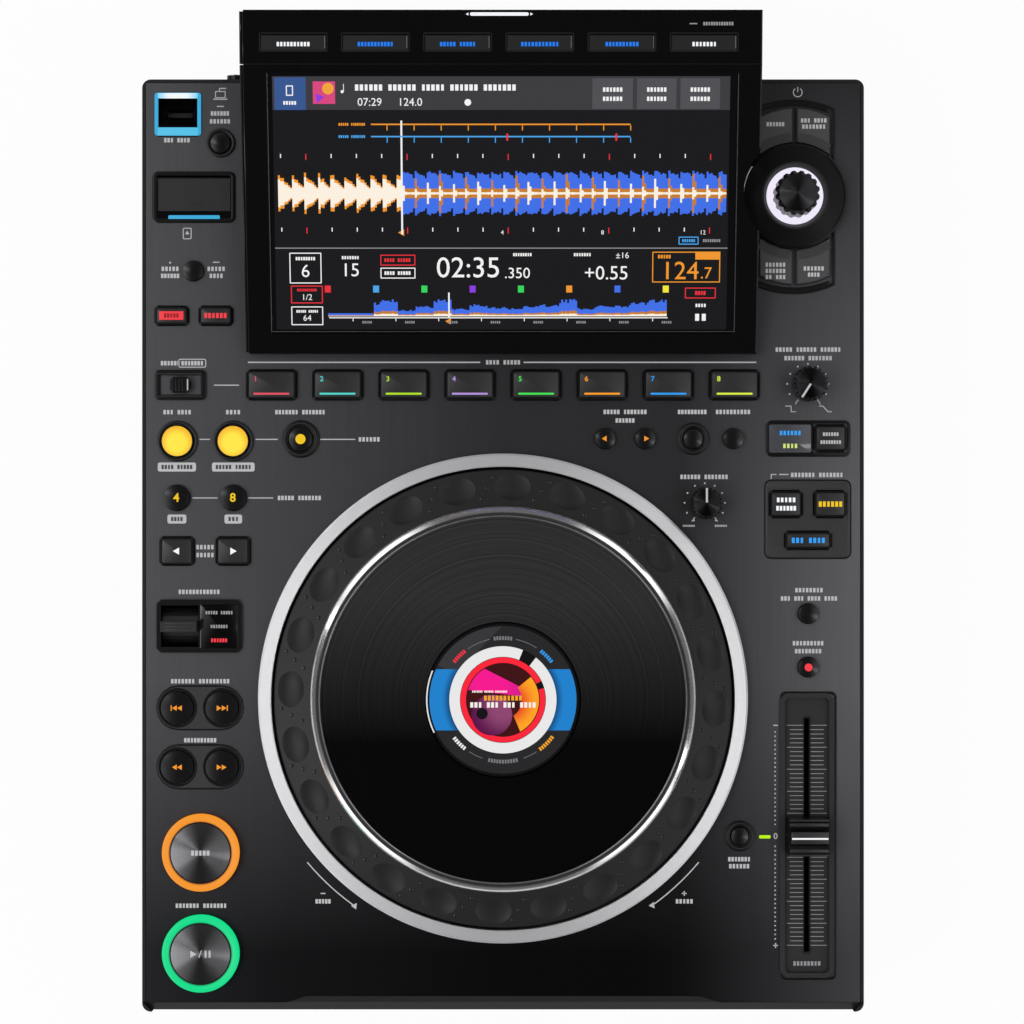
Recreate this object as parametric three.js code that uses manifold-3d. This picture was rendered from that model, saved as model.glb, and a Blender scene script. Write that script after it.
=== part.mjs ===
// Tabletop media player for a disc jockey, with a tilted screen and a jog wheel.
// Millimetres, +Z up, front edge towards -Y. The origin is on the table, under the middle of the player.
import * as THREE from "three";
import { mergeVertices } from "three/addons/utils/BufferGeometryUtils.js";
import Module from "manifold-3d";

const wasm = await Module();
wasm.setup();

// Clearances
const seatGap = 0.3; // between pieces that rest on each other
const runGap = 0.4; // round a piece that turns
const overrun = 1; // how far a cutter passes the face that it cuts
const lap = 0.4; // how far two joined bodies run into each other
const mergeTolerance = 0.0001;

// Plan of the case: the jog wheel with a column of controls on each side, and the screen pod behind
const jogRingRadius = 111.4;
const columnWidth = 53.1; // from the jog ring to the side
const jogFrontMargin = 31.6; // from the jog ring to the front
const rearBand = 45.1; // from the jog ring to the screen pod
const podSeatDepth = 125.5; // the stretch of the case under the pod
const podOverhang = 25; // how far the pod passes the rear of the case
const podSideField = 49.5; // from the pod to the side
const cornerRadius = 4;

const halfWidth = jogRingRadius + columnWidth;
const podHalfWidth = halfWidth - podSideField;
const sideSpan = jogFrontMargin + 2 * jogRingRadius;
const fieldDepth = sideSpan + rearBand;
const caseDepth = fieldDepth + podSeatDepth;
const overallDepth = caseDepth + podOverhang;
const frontY = -overallDepth / 2;
const jogY = frontY + jogFrontMargin + jogRingRadius;
const jogRearY = frontY + sideSpan;
const podFrontY = frontY + fieldDepth;
const rearY = frontY + caseDepth;
const caseMiddleY = frontY + caseDepth / 2;
const podRearY = rearY + podOverhang;

// Heights
const footHeight = 8;
const caseHeight = 72; // from the underside of the tray to the deck
const podHeight = 38; // from the deck to the rear edge of the pod
const trayHeight = 36;
const deckZ = footHeight + caseHeight;
const trayTopZ = footHeight + trayHeight;

// Case walls
const trayFloor = 1.5;
const trayWall = 1.5;
const upperWall = 3;
const rimWidth = 1.8; // case rim that shows round the deck plate
const rimDrop = 0.5; // the rim lies this far below the deck
const frontStrip = 4.5; // sloped front edge in front of the deck plate
const frontStripStep = 3; // extra depth of that edge in the middle
const frontStripFall = 6; // how far it falls to the front
const stepHalfWidth = 90;
const stepRun = 9;
const panelThickness = 2.7;
const shelfThickness = 2.7;
const shelfWidth = 2.6; // from the edge of the deck plate's pocket
const boardThickness = 1.6;

// Feet
const foot = { radius: 15, taper: 1.5, sideInset: 32, frontInset: 36, rearInset: 36 };

// Smoothness
const cornerSteps = 1;
const keySteps = 16;
const knobSteps = 24;
const wheelSteps = 60;

// Keys: a cap in a hole of the deck plate, and a flange under the plate
const key = { gap: 0.3, travel: 1.2, flangeMargin: 1, flangeThickness: 1.5, chamfer: 0.6, corner: 1.2 };
const flangeTop = -panelThickness - seatGap; // heights from here on are measured from the deck
const flangeBottom = flangeTop - key.flangeThickness;
const boardTop = flangeBottom - key.travel - seatGap;
const boardBottom = boardTop - boardThickness;
const capHeight = { pad: 2.2, square: 1.8, round: 1.8, large: 3.4, lit: 2.4, cluster: 2.6 };

// Places beside the jog wheel: from the side as a share of the column, from the front as a share of sideSpan
const beatLoopShares = [[0.299, 0.9206], [0.783, 0.9206]];
const beatJumpShares = [[0.301, 0.8255], [0.783, 0.8255]];
const directionShare = [0.4925, 0.6912];
const searchShares = [[0.305, 0.5448], [0.687, 0.5448], [0.305, 0.4391], [0.687, 0.4391]];
const cueShare = [0.508, 0.2862];
const playShare = [0.508, 0.1057];
const beatSyncShare = [0.672, 0.9096];
const masterShare = [0.292, 0.9096];
const keySyncShare = [0.482, 0.8447];
const tempoKeyColumnShare = 0.48;
// Of the gap from the fader plate to the key in front of the keys above
const tempoKeyGapShares = [0.5527, 0.18];
const tempoResetShare = [1.068, 0.3153];
const faderColumnShare = 0.4896;
const faderFrontMargin = 15.64; // from the front of the case to the fader plate

// Places in the band behind the wheel: from the side as a share of the column, then a share of rearBand
const loopInShare = [0.305, 0.126];
const loopOutShare = [0.783, 0.126];
const jogModeShare = [0.29, 0.155];
const speedKnobShare = [0.482, 0.698];
const cueSwitchShare = [0.3315, 0.692];

// Places in that band, or near it, as shares of half the width
const padPitchShare = 0.183;
const padRowShare = 0.694;
const reloopShare = [0.56, 0.146];
const callShares = [[0.2833, 0.151], [0.3939, 0.151], [0.5264, 0.151], [0.6377, 0.151]];
const jogAdjustShare = [0.559, 0.9108];

// Places beside the pod: from the side as a share of podSideField, then a share of podSeatDepth
const slipKeyShares = [[0.2747, 0.141], [0.6808, 0.141]];
const timeKeyShare = [0.4727, 0.3036];
const cardBayShare = [0.4788, 0.5717];
const stickBayShare = [0.3313, 0.8725];
const stopKeyShare = [0.7253, 0.7681];
const selectorShare = [0.6444, 0.5729];

// Control sizes
const pad = { count: 8, width: 22.7, depth: 13.7 };
const squareKey = { width: 15, depth: 12.4 };
const keySync = { width: 21.3, depth: 8.3 };
const slipKey = { width: 15.3, depth: 8.8 };
const jumpKey = { width: 15.6, depth: 13 };
const largeKeyRadius = 17.6;
const loopKeyRadius = 7.3;
const reloopRadius = 5.5;
const beatLoopRadius = 5.9;
const searchRadius = 7.5;
const smallKeyRadius = 4.6;
const resetRadius = 4;
const armWidth = 4; // arm that joins the tops of one moulded key group

// Jog wheel: bands counted inwards from the ring's edge, and heights from the deck
const ringBand = 6.1;
const skirtWall = 3.4;
const ringRimGap = 2.3;
const rimBand = 15.7;
const ledgeBand = 7.3;
const dimpleInset = 8.3; // from the band's inner edge to the middle of its dimples
const rimPlatterGap = 1.1;
const platterBevel = 3.1;
const skirtInner = jogRingRadius - ringBand;
const rimOuter = skirtInner - ringRimGap;
const rimInner = rimOuter - rimBand;
const platterOuter = rimInner - rimPlatterGap;
const jogSkirt = { inner: skirtInner, outer: skirtInner + skirtWall, bottom: -6 };
const jogRing = { top: 4.7, bevel: 1.2, edge: 2.2 };
const deckHoleGap = 0.3;
const jogBase = { wall: 2.5, depth: 16, floor: 3, flange: 4, flangeThickness: 3.5 };
const spindle = { radius: 20.6, shoulder: 26, shoulderTop: -12.3, top: 7.3 };
const rim = {
  outer: rimOuter, outerTop: 4, inner: rimInner, innerTop: 8.5, bottom: -3.5, skirt: 4,
  bevel: 0.8,
};
const rimLedge = { inner: rimInner - ledgeBand, thickness: 2.8 };
const dimple = { count: 24, radius: 7.4, sphere: 19, firstAngle: 12.4, steps: 10, rings: 8 };
const dimpleReach = rimInner + dimpleInset;
const platter = {
  outer: platterOuter, bevelInner: platterOuter - platterBevel, bevelFall: 3, top: 12,
  thickness: 5,
};
const webOuter = 43;
const hubWall = 4;
const hubDisplay = { radius: 34.9, bevel: 0.7, thickness: 4.3 };

// Selector
const dish = {
  radius: 23.9, rimTop: 6.3, edgeTop: 4, lip: 1, wellRadius: 13.2, wellSlope: 1.3,
  wellFloor: 3,
};
const bushing = { radius: 6, depth: 5 };
const selectorShaft = { radius: 3, top: 14, bottom: -14, collar: 5, collarThickness: 1.5, travel: 0.8 };
const selectorKnob = { radius: 10.1, valley: 9.1, top: 18, flutes: 16, chamfer: 1.4, lift: 1.2 };

// Four keys round the selector dish
const cluster = { gap: 0.8, inner: 1, innerMarginShare: 0.6, outer: 16, reach: 40, cornerFall: 4, steps: 5 };

// Rotary knobs and their shafts
const knobShaft = { radius: 3, bottom: -10 };
const speedKnob = { radius: 7.7, top: 15, draft: 0.7, bevel: 1, lift: 0.6, pointerAngle: -123 };
const adjustKnob = { radius: 7, top: 14, draft: 0.6, bevel: 1, lift: 0.6, pointerAngle: 90 };
const pointer = { width: 0.9, depth: 0.8, innerShare: 0.15 };

// Tempo fader
const fader = { travel: 100, rim: 2.2, proud: 0.6, sink: 3.4, corner: 3 };
const faderWell = { width: 20.2, depth: 125.3, sink: 1.2 };
const faderPlateWidth = faderWell.width + 2 * fader.rim;
const faderPlateDepth = faderWell.depth + 2 * fader.rim;
const faderSlot = { width: 2.2, spare: 0.3 };
const faderCap = { width: 18, depth: 17.5, bottom: 0.6, top: 11, waist: 1.6, waistDepth: 5, topDepth: 15 };
const faderBlade = { width: 1.4, depth: 6, bottom: -11 };
const faderFoot = { width: 9, depth: 9, thickness: 2 };

// Direction lever: a drum on two trunnions in its bezel, with a blade on top
const directionBezel = { width: 38.7, depth: 24.1, proud: 1.2, corner: 2 };
const leverSlot = { width: 17.2, depth: 18.9, offset: -8.75, sideWall: 1.6, endWall: 1, bottom: -18 };
const lever = {
  drumRadius: 8.8, axisZ: -9.5, bladeDepth: 4.8, bladeTop: 8, trunnion: 1.6,
  trunnionLength: 1.2,
};

// Slide switch for the stored points
const cueSwitch = { width: 8.8, depth: 7.2, top: 4.5, lift: 0.4, stemWidth: 3, stemDepth: 2.4, travel: 3 };

// Media bay: a well for a memory stick, and a card slot behind a flap
const stickBay = { width: 21, depth: 19.8, corner: 1.5, wellWidth: 17.8, wellDepth: 12.5, wellSink: 15 };
const stickLip = 0.4;
const stickWellOffset = 0.75;
const cardBay = {
  width: 37.4, depth: 22.9, corner: 2, recessWidth: 33.6, recessSink: 8, sink: 20, proud: 0.6,
};
const cardSlit = { width: 24.5, depth: 2.4, sink: 16 };
const flap = { width: 33, depth: 14.4, thickness: 2, top: -0.1, knuckle: 1.3, pinLength: 1.2, offset: 8.05 };
const bayPlate = 2;

// Screen pod
const podFrontHeight = 6.7; // from the deck to the top of the pod's front edge
const stripTilt = 5;
const foldInset = 24; // from the rear of the pod to the fold between screen and key strip
const podShell = { wall: 2.5, floor: 1.5, rearHeight: 16, undercut: 3, rearLip: 4 };
const bezelThickness = 3;
const screenSide = 14; // bezel beside the picture
const screenFront = 10.8; // bezel in front of the picture, along the slope
const screenRear = 5.1; // bezel behind the picture, along the slope
const windowFlare = 5;
const screenBorder = 3;
const screenThickness = 2.2;
const stripKey = { count: 6, width: 28.9, depth: 6.9, pitch: 36.4, offset: -1.8, proud: 0.4, travel: 0.8 };
const stripKeyInset = 9.6; // from the fold to the row of keys

// Sockets on the rear wall: places from the side wall as shares of the whole width
const socketZ = 19; // above the tray's floor
const powerKey = { radius: 6, proud: 2, travel: 2, length: 7, share: 0.908 };
const inlet = { width: 27, height: 20, flange: 1.6, flangeMargin: 2.5, depth: 18, share: 0.75 };
const inletWell = { width: 22, height: 14, depth: 15, pinWidth: 2, pinHeight: 4, pinLength: 9, pinPitch: 7 };
const jackBoard = { width: 112, depth: 38, thickness: 1.6, share: 0.235, drop: 8.2 };
const phono = { radius: 4.2, reach: 9, block: 12, shares: [0.115, 0.17, 0.225] };
const network = {
  width: 16, height: 13.5, depth: 17, wellWidth: 11.8, wellHeight: 8.4, wellDepth: 11,
  share: 0.29,
};
const squarePort = {
  width: 12, height: 11, depth: 16, wellWidth: 8.4, wellHeight: 7.6, wellDepth: 9, share: 0.36,
};

// Boards inside the tray
const mainBoard = { width: 190, depth: 150, share: 0.36, depthShare: 0.55, bossRadius: 4, bossHeight: 6 };
const bossInset = 8;
const chip = { width: 34, height: 9, pitchShare: 0.25 };
const powerSupply = { width: 90, depth: 84, boardHeight: 5, share: 0.79, depthShare: 0.66 };
const transformer = { width: 34, height: 26 };

// Colours
function finish(color, roughness, metalness) {
  return new THREE.MeshStandardMaterial({ color, roughness, metalness });
}
const finishes = {
  deck: finish("#3b3b3d", 0.45, 0.6),
  case: finish("#232325", 0.5, 0),
  gloss: finish("#0b0b0d", 0.15, 0),
  satin: finish("#c9c9cb", 0.3, 1),
  rubber: finish("#2d2d2f", 0.8, 0),
  key: finish("#1d1d1f", 0.45, 0),
  screen: finish("#1f1f22", 0.1, 0),
  board: finish("#1d4a2c", 0.6, 0),
  steel: finish("#8a8d91", 0.4, 1),
  spun: finish("#58585a", 0.35, 1),
  amber: finish("#ffc72a", 0.4, 0),
};

const player = new THREE.Group();
const deckLevel = new THREE.Group();
deckLevel.position.z = deckZ;
player.add(deckLevel);

// Closed outlines on the plan
function rectangle(width, depth, radius = 0, x = 0, y = 0) {
  const steps = radius > 0 ? cornerSteps : 0;
  const reach = [width / 2 - radius, depth / 2 - radius];
  const signs = [[1, -1], [1, 1], [-1, 1], [-1, -1]];
  const points = [];
  signs.forEach(([signX, signY], quarter) => {
    for (let step = 0; step <= steps; step += 1) {
      const angle = ((quarter - 1 + (steps ? step / steps : 0)) * Math.PI) / 2;
      const cornerX = x + signX * reach[0];
      const cornerY = y + signY * reach[1];
      points.push(new THREE.Vector2(cornerX + radius * Math.cos(angle), cornerY + radius * Math.sin(angle)));
    }
  });
  return points;
}

function circle(radius, x = 0, y = 0, steps = keySteps) {
  const points = [];
  for (let step = 0; step < steps; step += 1) {
    const angle = (step / steps) * 2 * Math.PI;
    points.push(new THREE.Vector2(x + radius * Math.cos(angle), y + radius * Math.sin(angle)));
  }
  return points;
}

function moved(outline, [x, y]) {
  return outline.map((point) => new THREE.Vector2(point.x + x, point.y + y));
}

// A three.js geometry as a solid, with its faces pointing out
function solid(geometry) {
  geometry.deleteAttribute("normal");
  geometry.deleteAttribute("uv");
  const merged = mergeVertices(geometry, mergeTolerance);
  const positions = merged.attributes.position;
  const triangles = [];
  let volume = 0;
  const corners = [new THREE.Vector3(), new THREE.Vector3(), new THREE.Vector3()];
  for (let first = 0; first < merged.index.count; first += 3) {
    const face = [0, 1, 2].map((corner) => merged.index.getX(first + corner));
    if (new Set(face).size === 3) {
      triangles.push(face);
      corners.forEach((corner, slot) => corner.fromBufferAttribute(positions, face[slot]));
      volume += corners[0].dot(corners[1].cross(corners[2]));
    }
  }
  const outward = volume > 0 ? triangles : triangles.map(([a, b, c]) => [a, c, b]);
  const vertProperties = new Float32Array(positions.array);
  const triVerts = new Uint32Array(outward.flat());
  return new wasm.Manifold(new wasm.Mesh({ numProp: 3, vertProperties, triVerts }));
}

function prism(outline, bottom, top) {
  const shape = new THREE.Shape(outline);
  const geometry = new THREE.ExtrudeGeometry(shape, { depth: top - bottom, bevelEnabled: false });
  geometry.translate(0, 0, bottom);
  return solid(geometry);
}

function chamfered(outline, bottom, top, chamfer) {
  const geometry = new THREE.ExtrudeGeometry(new THREE.Shape(outline), {
    depth: top - bottom - 2 * chamfer,
    bevelThickness: chamfer,
    bevelSize: chamfer,
    bevelOffset: -chamfer,
    bevelSegments: 1,
  });
  geometry.translate(0, 0, bottom + chamfer);
  return solid(geometry);
}

// A turned solid about the Z axis, from [radius, height] pairs
function turned(profile, steps) {
  const points = profile.map(([radius, height]) => new THREE.Vector2(radius, height));
  if (profile[0][0] > 0) points.push(points[0].clone());
  const geometry = new THREE.LatheGeometry(points, steps);
  geometry.rotateX(Math.PI / 2);
  return solid(geometry);
}

function block(width, depth, height, x = 0, y = 0, z = 0) {
  const geometry = new THREE.BoxGeometry(width, depth, height);
  geometry.translate(x, y, z + height / 2);
  return solid(geometry);
}

// A round bar along X or Y, centred on the given point
function bar(radius, length, along, x, y, z, steps = keySteps) {
  const geometry = new THREE.CylinderGeometry(radius, radius, length, steps);
  if (along === "x") geometry.rotateZ(Math.PI / 2);
  geometry.translate(x, y, z);
  return solid(geometry);
}

// A side view in [y, z] pairs, extruded across the player
function acrossX(profile, halfSpan) {
  const shape = new THREE.Shape(profile.map(([y, z]) => new THREE.Vector2(y, z)));
  const geometry = new THREE.ExtrudeGeometry(shape, { depth: 2 * halfSpan, bevelEnabled: false });
  geometry.translate(0, 0, -halfSpan);
  geometry.rotateX(Math.PI / 2);
  geometry.rotateZ(Math.PI / 2);
  return solid(geometry);
}

function union(first, ...others) {
  return others.reduce((sum, other) => sum.add(other), first);
}

function cut(first, ...others) {
  return others.reduce((rest, other) => rest.subtract(other), first);
}

// A named mesh with its own material, placed in its parent group
function piece(name, body, material, parent = player, [x, y, z] = [0, 0, 0]) {
  const data = body.getMesh();
  const geometry = new THREE.BufferGeometry();
  geometry.setAttribute("position", new THREE.BufferAttribute(data.vertProperties, 3));
  geometry.setIndex(new THREE.BufferAttribute(data.triVerts, 1));
  geometry.computeVertexNormals();
  const mesh = new THREE.Mesh(geometry, material.clone());
  mesh.name = name;
  mesh.position.set(x, y, z);
  parent.add(mesh);
  return mesh;
}

// Places on the deck, with side -1 on the left and 1 on the right
function faderPlace() {
  return [halfWidth - columnWidth * faderColumnShare, frontY + faderFrontMargin + faderPlateDepth / 2];
}
function besideWheel(side, [share, depthShare]) {
  return [side * (halfWidth - columnWidth * share), frontY + sideSpan * depthShare];
}
function behindWheel(side, [share, depthShare]) {
  return [side * (halfWidth - columnWidth * share), jogRearY + rearBand * depthShare];
}
function acrossBand(side, [share, depthShare]) {
  return [side * halfWidth * share, jogRearY + rearBand * depthShare];
}
function besidePod(side, [share, depthShare]) {
  return [side * (halfWidth - podSideField * share), podFrontY + podSeatDepth * depthShare];
}

// Holes in the deck plate, filled by the pieces that pass through it, and in the switch board below it
const deckHoles = [];
const boardHoles = [];

// A key stands at the middle of its cap. Its outline takes a margin, so that cap, hole and flange agree
function addKey(name, spot, outline, height, material) {
  const cap = chamfered(outline(0), flangeBottom + lap, height, key.chamfer);
  const flange = prism(outline(key.flangeMargin), flangeBottom, flangeTop);
  deckHoles.push(moved(outline(key.gap), spot));
  piece(name, union(cap, flange), material, deckLevel, [...spot, 0]);
}

function rectangularKey({ width, depth }) {
  return (margin) => rectangle(width + 2 * margin, depth + 2 * margin, key.corner + margin);
}

function roundKey(radius, steps = keySteps) {
  return (margin) => circle(radius + margin, 0, 0, steps);
}

// Several key tops on one moulded carrier: tops are [spot, outline, height], arms are outlines
function addKeyGroup(name, tops, arms, material) {
  const caps = tops.map(([spot, outline, height]) => {
    deckHoles.push(moved(outline(key.gap), spot));
    return chamfered(moved(outline(0), spot), flangeBottom + lap, height, key.chamfer);
  });
  const flanges = tops.map(([spot, outline]) =>
    prism(moved(outline(key.flangeMargin), spot), flangeBottom, flangeTop));
  const links = arms.map((arm) => prism(arm, flangeBottom, flangeTop));
  piece(name, union(...caps, ...flanges, ...links), material, deckLevel);
}

// The smallest rectangle round two places, wide enough for an arm
function armBetween([x0, y0], [x1, y1]) {
  const width = Math.abs(x1 - x0) + armWidth;
  const depth = Math.abs(y1 - y0) + armWidth;
  return rectangle(width, depth, 0, (x0 + x1) / 2, (y0 + y1) / 2);
}

// Feet
function addFeet() {
  const profile = [
    [0, 0],
    [foot.radius - foot.taper, 0],
    [foot.radius, foot.taper],
    [foot.radius, footHeight - seatGap],
    [0, footHeight - seatGap],
  ];
  for (const [side, sign] of [["left", -1], ["right", 1]]) {
    const x = sign * (halfWidth - foot.sideInset);
    const body = turned(profile, knobSteps);
    piece(`foot_front_${side}`, body, finishes.rubber, player, [x, frontY + foot.frontInset, 0]);
    piece(`foot_rear_${side}`, body, finishes.rubber, player, [x, rearY - foot.rearInset, 0]);
  }
}

// Rear sockets share one line above the tray's floor
const floorZ = footHeight + trayFloor;
const socketLineZ = floorZ + socketZ;
const rearInnerY = rearY - trayWall;
function rearX(share) {
  return halfWidth * (2 * share - 1);
}

// Bottom tray with its rear wall openings and the bosses for the main board
const mainBoardX = rearX(mainBoard.share);
const mainBoardY = frontY + caseDepth * mainBoard.depthShare;
function addTray() {
  const outer = prism(rectangle(2 * halfWidth, caseDepth, cornerRadius, 0, caseMiddleY), footHeight, trayTopZ);
  const innerWidth = 2 * (halfWidth - trayWall);
  const innerDepth = caseDepth - 2 * trayWall;
  const innerRadius = cornerRadius - trayWall;
  const inner = prism(rectangle(innerWidth, innerDepth, innerRadius, 0, caseMiddleY), floorZ, trayTopZ + overrun);
  const wallCut = trayWall + 2 * overrun;
  const wallY = rearY - trayWall / 2;
  const openings = [
    bar(powerKey.radius + seatGap, wallCut, "y", rearX(powerKey.share), wallY, socketLineZ),
    ...phono.shares.map((share) => bar(phono.radius + seatGap, wallCut, "y", rearX(share), wallY, socketLineZ)),
    ...[inlet, network, squarePort].map((socket) => {
      const height = socket.height + 2 * seatGap;
      const z = socketLineZ - height / 2;
      return block(socket.width + 2 * seatGap, wallCut, height, rearX(socket.share), wallY, z);
    }),
  ];
  const bosses = [];
  for (const signX of [-1, 1]) {
    for (const signY of [-1, 1]) {
      const x = mainBoardX + signX * (mainBoard.width / 2 - bossInset);
      const y = mainBoardY + signY * (mainBoard.depth / 2 - bossInset);
      bosses.push(prism(circle(mainBoard.bossRadius, x, y), floorZ - lap, floorZ + mainBoard.bossHeight));
    }
  }
  piece("chassis_tray", union(cut(outer, inner, ...openings), ...bosses), finishes.case);
}

// Deck plate outline: its front edge steps back in the middle
const plateHalfWidth = halfWidth - rimWidth;
const plateFrontY = frontY + frontStrip;
const plateRearY = rearY - rimWidth;
function plateOutline(margin) {
  const side = plateHalfWidth + margin;
  const front = plateFrontY - margin;
  const stepped = front + frontStripStep;
  const rear = plateRearY + margin;
  const corners = [
    [-side, front], [-stepHalfWidth - stepRun, front], [-stepHalfWidth, stepped],
    [stepHalfWidth, stepped], [stepHalfWidth + stepRun, front], [side, front], [side, rear], [-side, rear],
  ];
  return corners.map(([x, y]) => new THREE.Vector2(x, y));
}

// Upper case: a frame with a shelf for the deck plate and a sloped front edge
const rimTopZ = deckZ - rimDrop;
const shelfTopZ = deckZ - panelThickness - seatGap;
const shelfBottomZ = shelfTopZ - shelfThickness;
function addUpperCase() {
  const outline = rectangle(2 * halfWidth, caseDepth, cornerRadius, 0, caseMiddleY);
  const outer = prism(outline, trayTopZ + seatGap, rimTopZ);
  const innerWidth = 2 * (halfWidth - upperWall);
  const innerDepth = caseDepth - 2 * upperWall;
  const inner = rectangle(innerWidth, innerDepth, cornerRadius - upperWall, 0, caseMiddleY);
  const wedge = acrossX([
    [frontY - overrun, rimTopZ - frontStripFall],
    [frontY, rimTopZ - frontStripFall],
    [frontY + frontStrip, rimTopZ],
    [frontY + frontStrip, rimTopZ + overrun],
    [frontY - overrun, rimTopZ + overrun],
  ], halfWidth + overrun);
  const body = cut(
    outer,
    prism(plateOutline(seatGap), shelfTopZ, deckZ + overrun),
    prism(inner, trayTopZ - overrun, shelfBottomZ),
    prism(plateOutline(seatGap - shelfWidth), shelfBottomZ - overrun, shelfTopZ + overrun),
    wedge,
  );
  piece("upper_case", body, finishes.case);
}

// Jog wheel and what carries it
function addJog() {
  const wheel = new THREE.Group();
  wheel.position.set(0, jogY, 0);
  deckLevel.add(wheel);

  const ringProfile = [
    [jogSkirt.inner, jogSkirt.bottom],
    [jogSkirt.outer, jogSkirt.bottom],
    [jogSkirt.outer, seatGap],
    [jogRingRadius, seatGap],
    [jogRingRadius, jogRing.top - jogRing.edge],
    [jogRingRadius - jogRing.bevel, jogRing.top],
    [jogSkirt.inner + jogRing.bevel, jogRing.top],
    [jogSkirt.inner, jogRing.top - jogRing.bevel],
  ];
  piece("jog_ring", turned(ringProfile, wheelSteps), finishes.satin, wheel);
  const holeRadius = jogSkirt.outer + deckHoleGap;
  deckHoles.push(circle(holeRadius, 0, jogY, wheelSteps));

  const bowlInner = holeRadius + seatGap;
  const bowlOuter = bowlInner + jogBase.wall;
  const bowlFloor = flangeTop - jogBase.depth;
  const bowlInside = bowlFloor + jogBase.floor;
  const baseProfile = [
    [0, bowlFloor],
    [bowlOuter, bowlFloor],
    [bowlOuter, flangeTop - jogBase.flangeThickness],
    [bowlOuter + jogBase.flange, flangeTop - jogBase.flangeThickness],
    [bowlOuter + jogBase.flange, flangeTop],
    [bowlInner, flangeTop],
    [bowlInner, bowlInside],
    [spindle.shoulder, bowlInside],
    [spindle.shoulder, spindle.shoulderTop],
    [spindle.radius, spindle.shoulderTop],
    [spindle.radius, spindle.top],
    [0, spindle.top],
  ];
  piece("jog_base", turned(baseProfile, wheelSteps), finishes.case, wheel);
  boardHoles.push(circle(bowlOuter + jogBase.flange + seatGap, 0, jogY, wheelSteps));

  const platterBottom = platter.top - platter.thickness;
  const ledgeTop = platterBottom - seatGap;
  const ledgeBottom = ledgeTop - rimLedge.thickness;
  const rimSkirtInner = rim.outer - rim.skirt;
  const bandFall = rim.innerTop - rim.outerTop;
  const rimProfile = [
    [rimLedge.inner, ledgeBottom],
    [rimSkirtInner, ledgeBottom - bandFall],
    [rimSkirtInner, rim.bottom],
    [rim.outer, rim.bottom],
    [rim.outer, rim.outerTop - rim.bevel],
    [rim.outer - rim.bevel, rim.outerTop],
    [rim.inner, rim.innerTop],
    [rim.inner, ledgeTop],
    [rimLedge.inner, ledgeTop],
  ];
  const slope = Math.atan2(bandFall, rim.outer - rim.bevel - rim.inner);
  const dimpleShare = (dimpleReach - rim.inner) / (rim.outer - rim.bevel - rim.inner);
  const dimpleZ = rim.innerTop - bandFall * dimpleShare;
  const lift = Math.sqrt(dimple.sphere ** 2 - dimple.radius ** 2);
  const dimples = [];
  for (let index = 0; index < dimple.count; index += 1) {
    const ball = new THREE.SphereGeometry(dimple.sphere, dimple.steps, dimple.rings, 0, 2 * Math.PI);
    ball.rotateX(Math.PI / 2);
    ball.translate(0, 0, lift);
    ball.rotateY(slope);
    ball.translate(dimpleReach, 0, dimpleZ);
    ball.rotateZ(THREE.MathUtils.degToRad(dimple.firstAngle + (index * 360) / dimple.count));
    dimples.push(solid(ball));
  }
  piece("jog_rim", cut(turned(rimProfile, wheelSteps), ...dimples), finishes.rubber, wheel);

  const hubInner = spindle.radius + runGap;
  const hubOuter = hubInner + hubWall;
  const boreRadius = hubDisplay.radius + runGap;
  const displayBottom = spindle.top + seatGap;
  const webTop = displayBottom - runGap;
  const webBottom = webTop - hubWall;
  const platterProfile = [
    [hubInner, spindle.shoulderTop + seatGap],
    [hubOuter, spindle.shoulderTop + seatGap],
    [hubOuter, webBottom],
    [webOuter - hubWall, webBottom],
    [webOuter, platterBottom],
    [platter.outer, platterBottom],
    [platter.outer, platter.top - platter.bevelFall],
    [platter.bevelInner, platter.top],
    [boreRadius, platter.top],
    [boreRadius, webTop],
    [hubInner, webTop],
  ];
  piece("jog_plate", turned(platterProfile, wheelSteps), finishes.gloss, wheel);

  const displayTop = displayBottom + hubDisplay.thickness;
  const displayProfile = [
    [0, displayBottom],
    [hubDisplay.radius, displayBottom],
    [hubDisplay.radius, displayTop - hubDisplay.bevel],
    [hubDisplay.radius - hubDisplay.bevel, displayTop],
    [0, displayTop],
  ];
  piece("jog_display", turned(displayProfile, 2 * knobSteps), finishes.screen, wheel);
}

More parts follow.
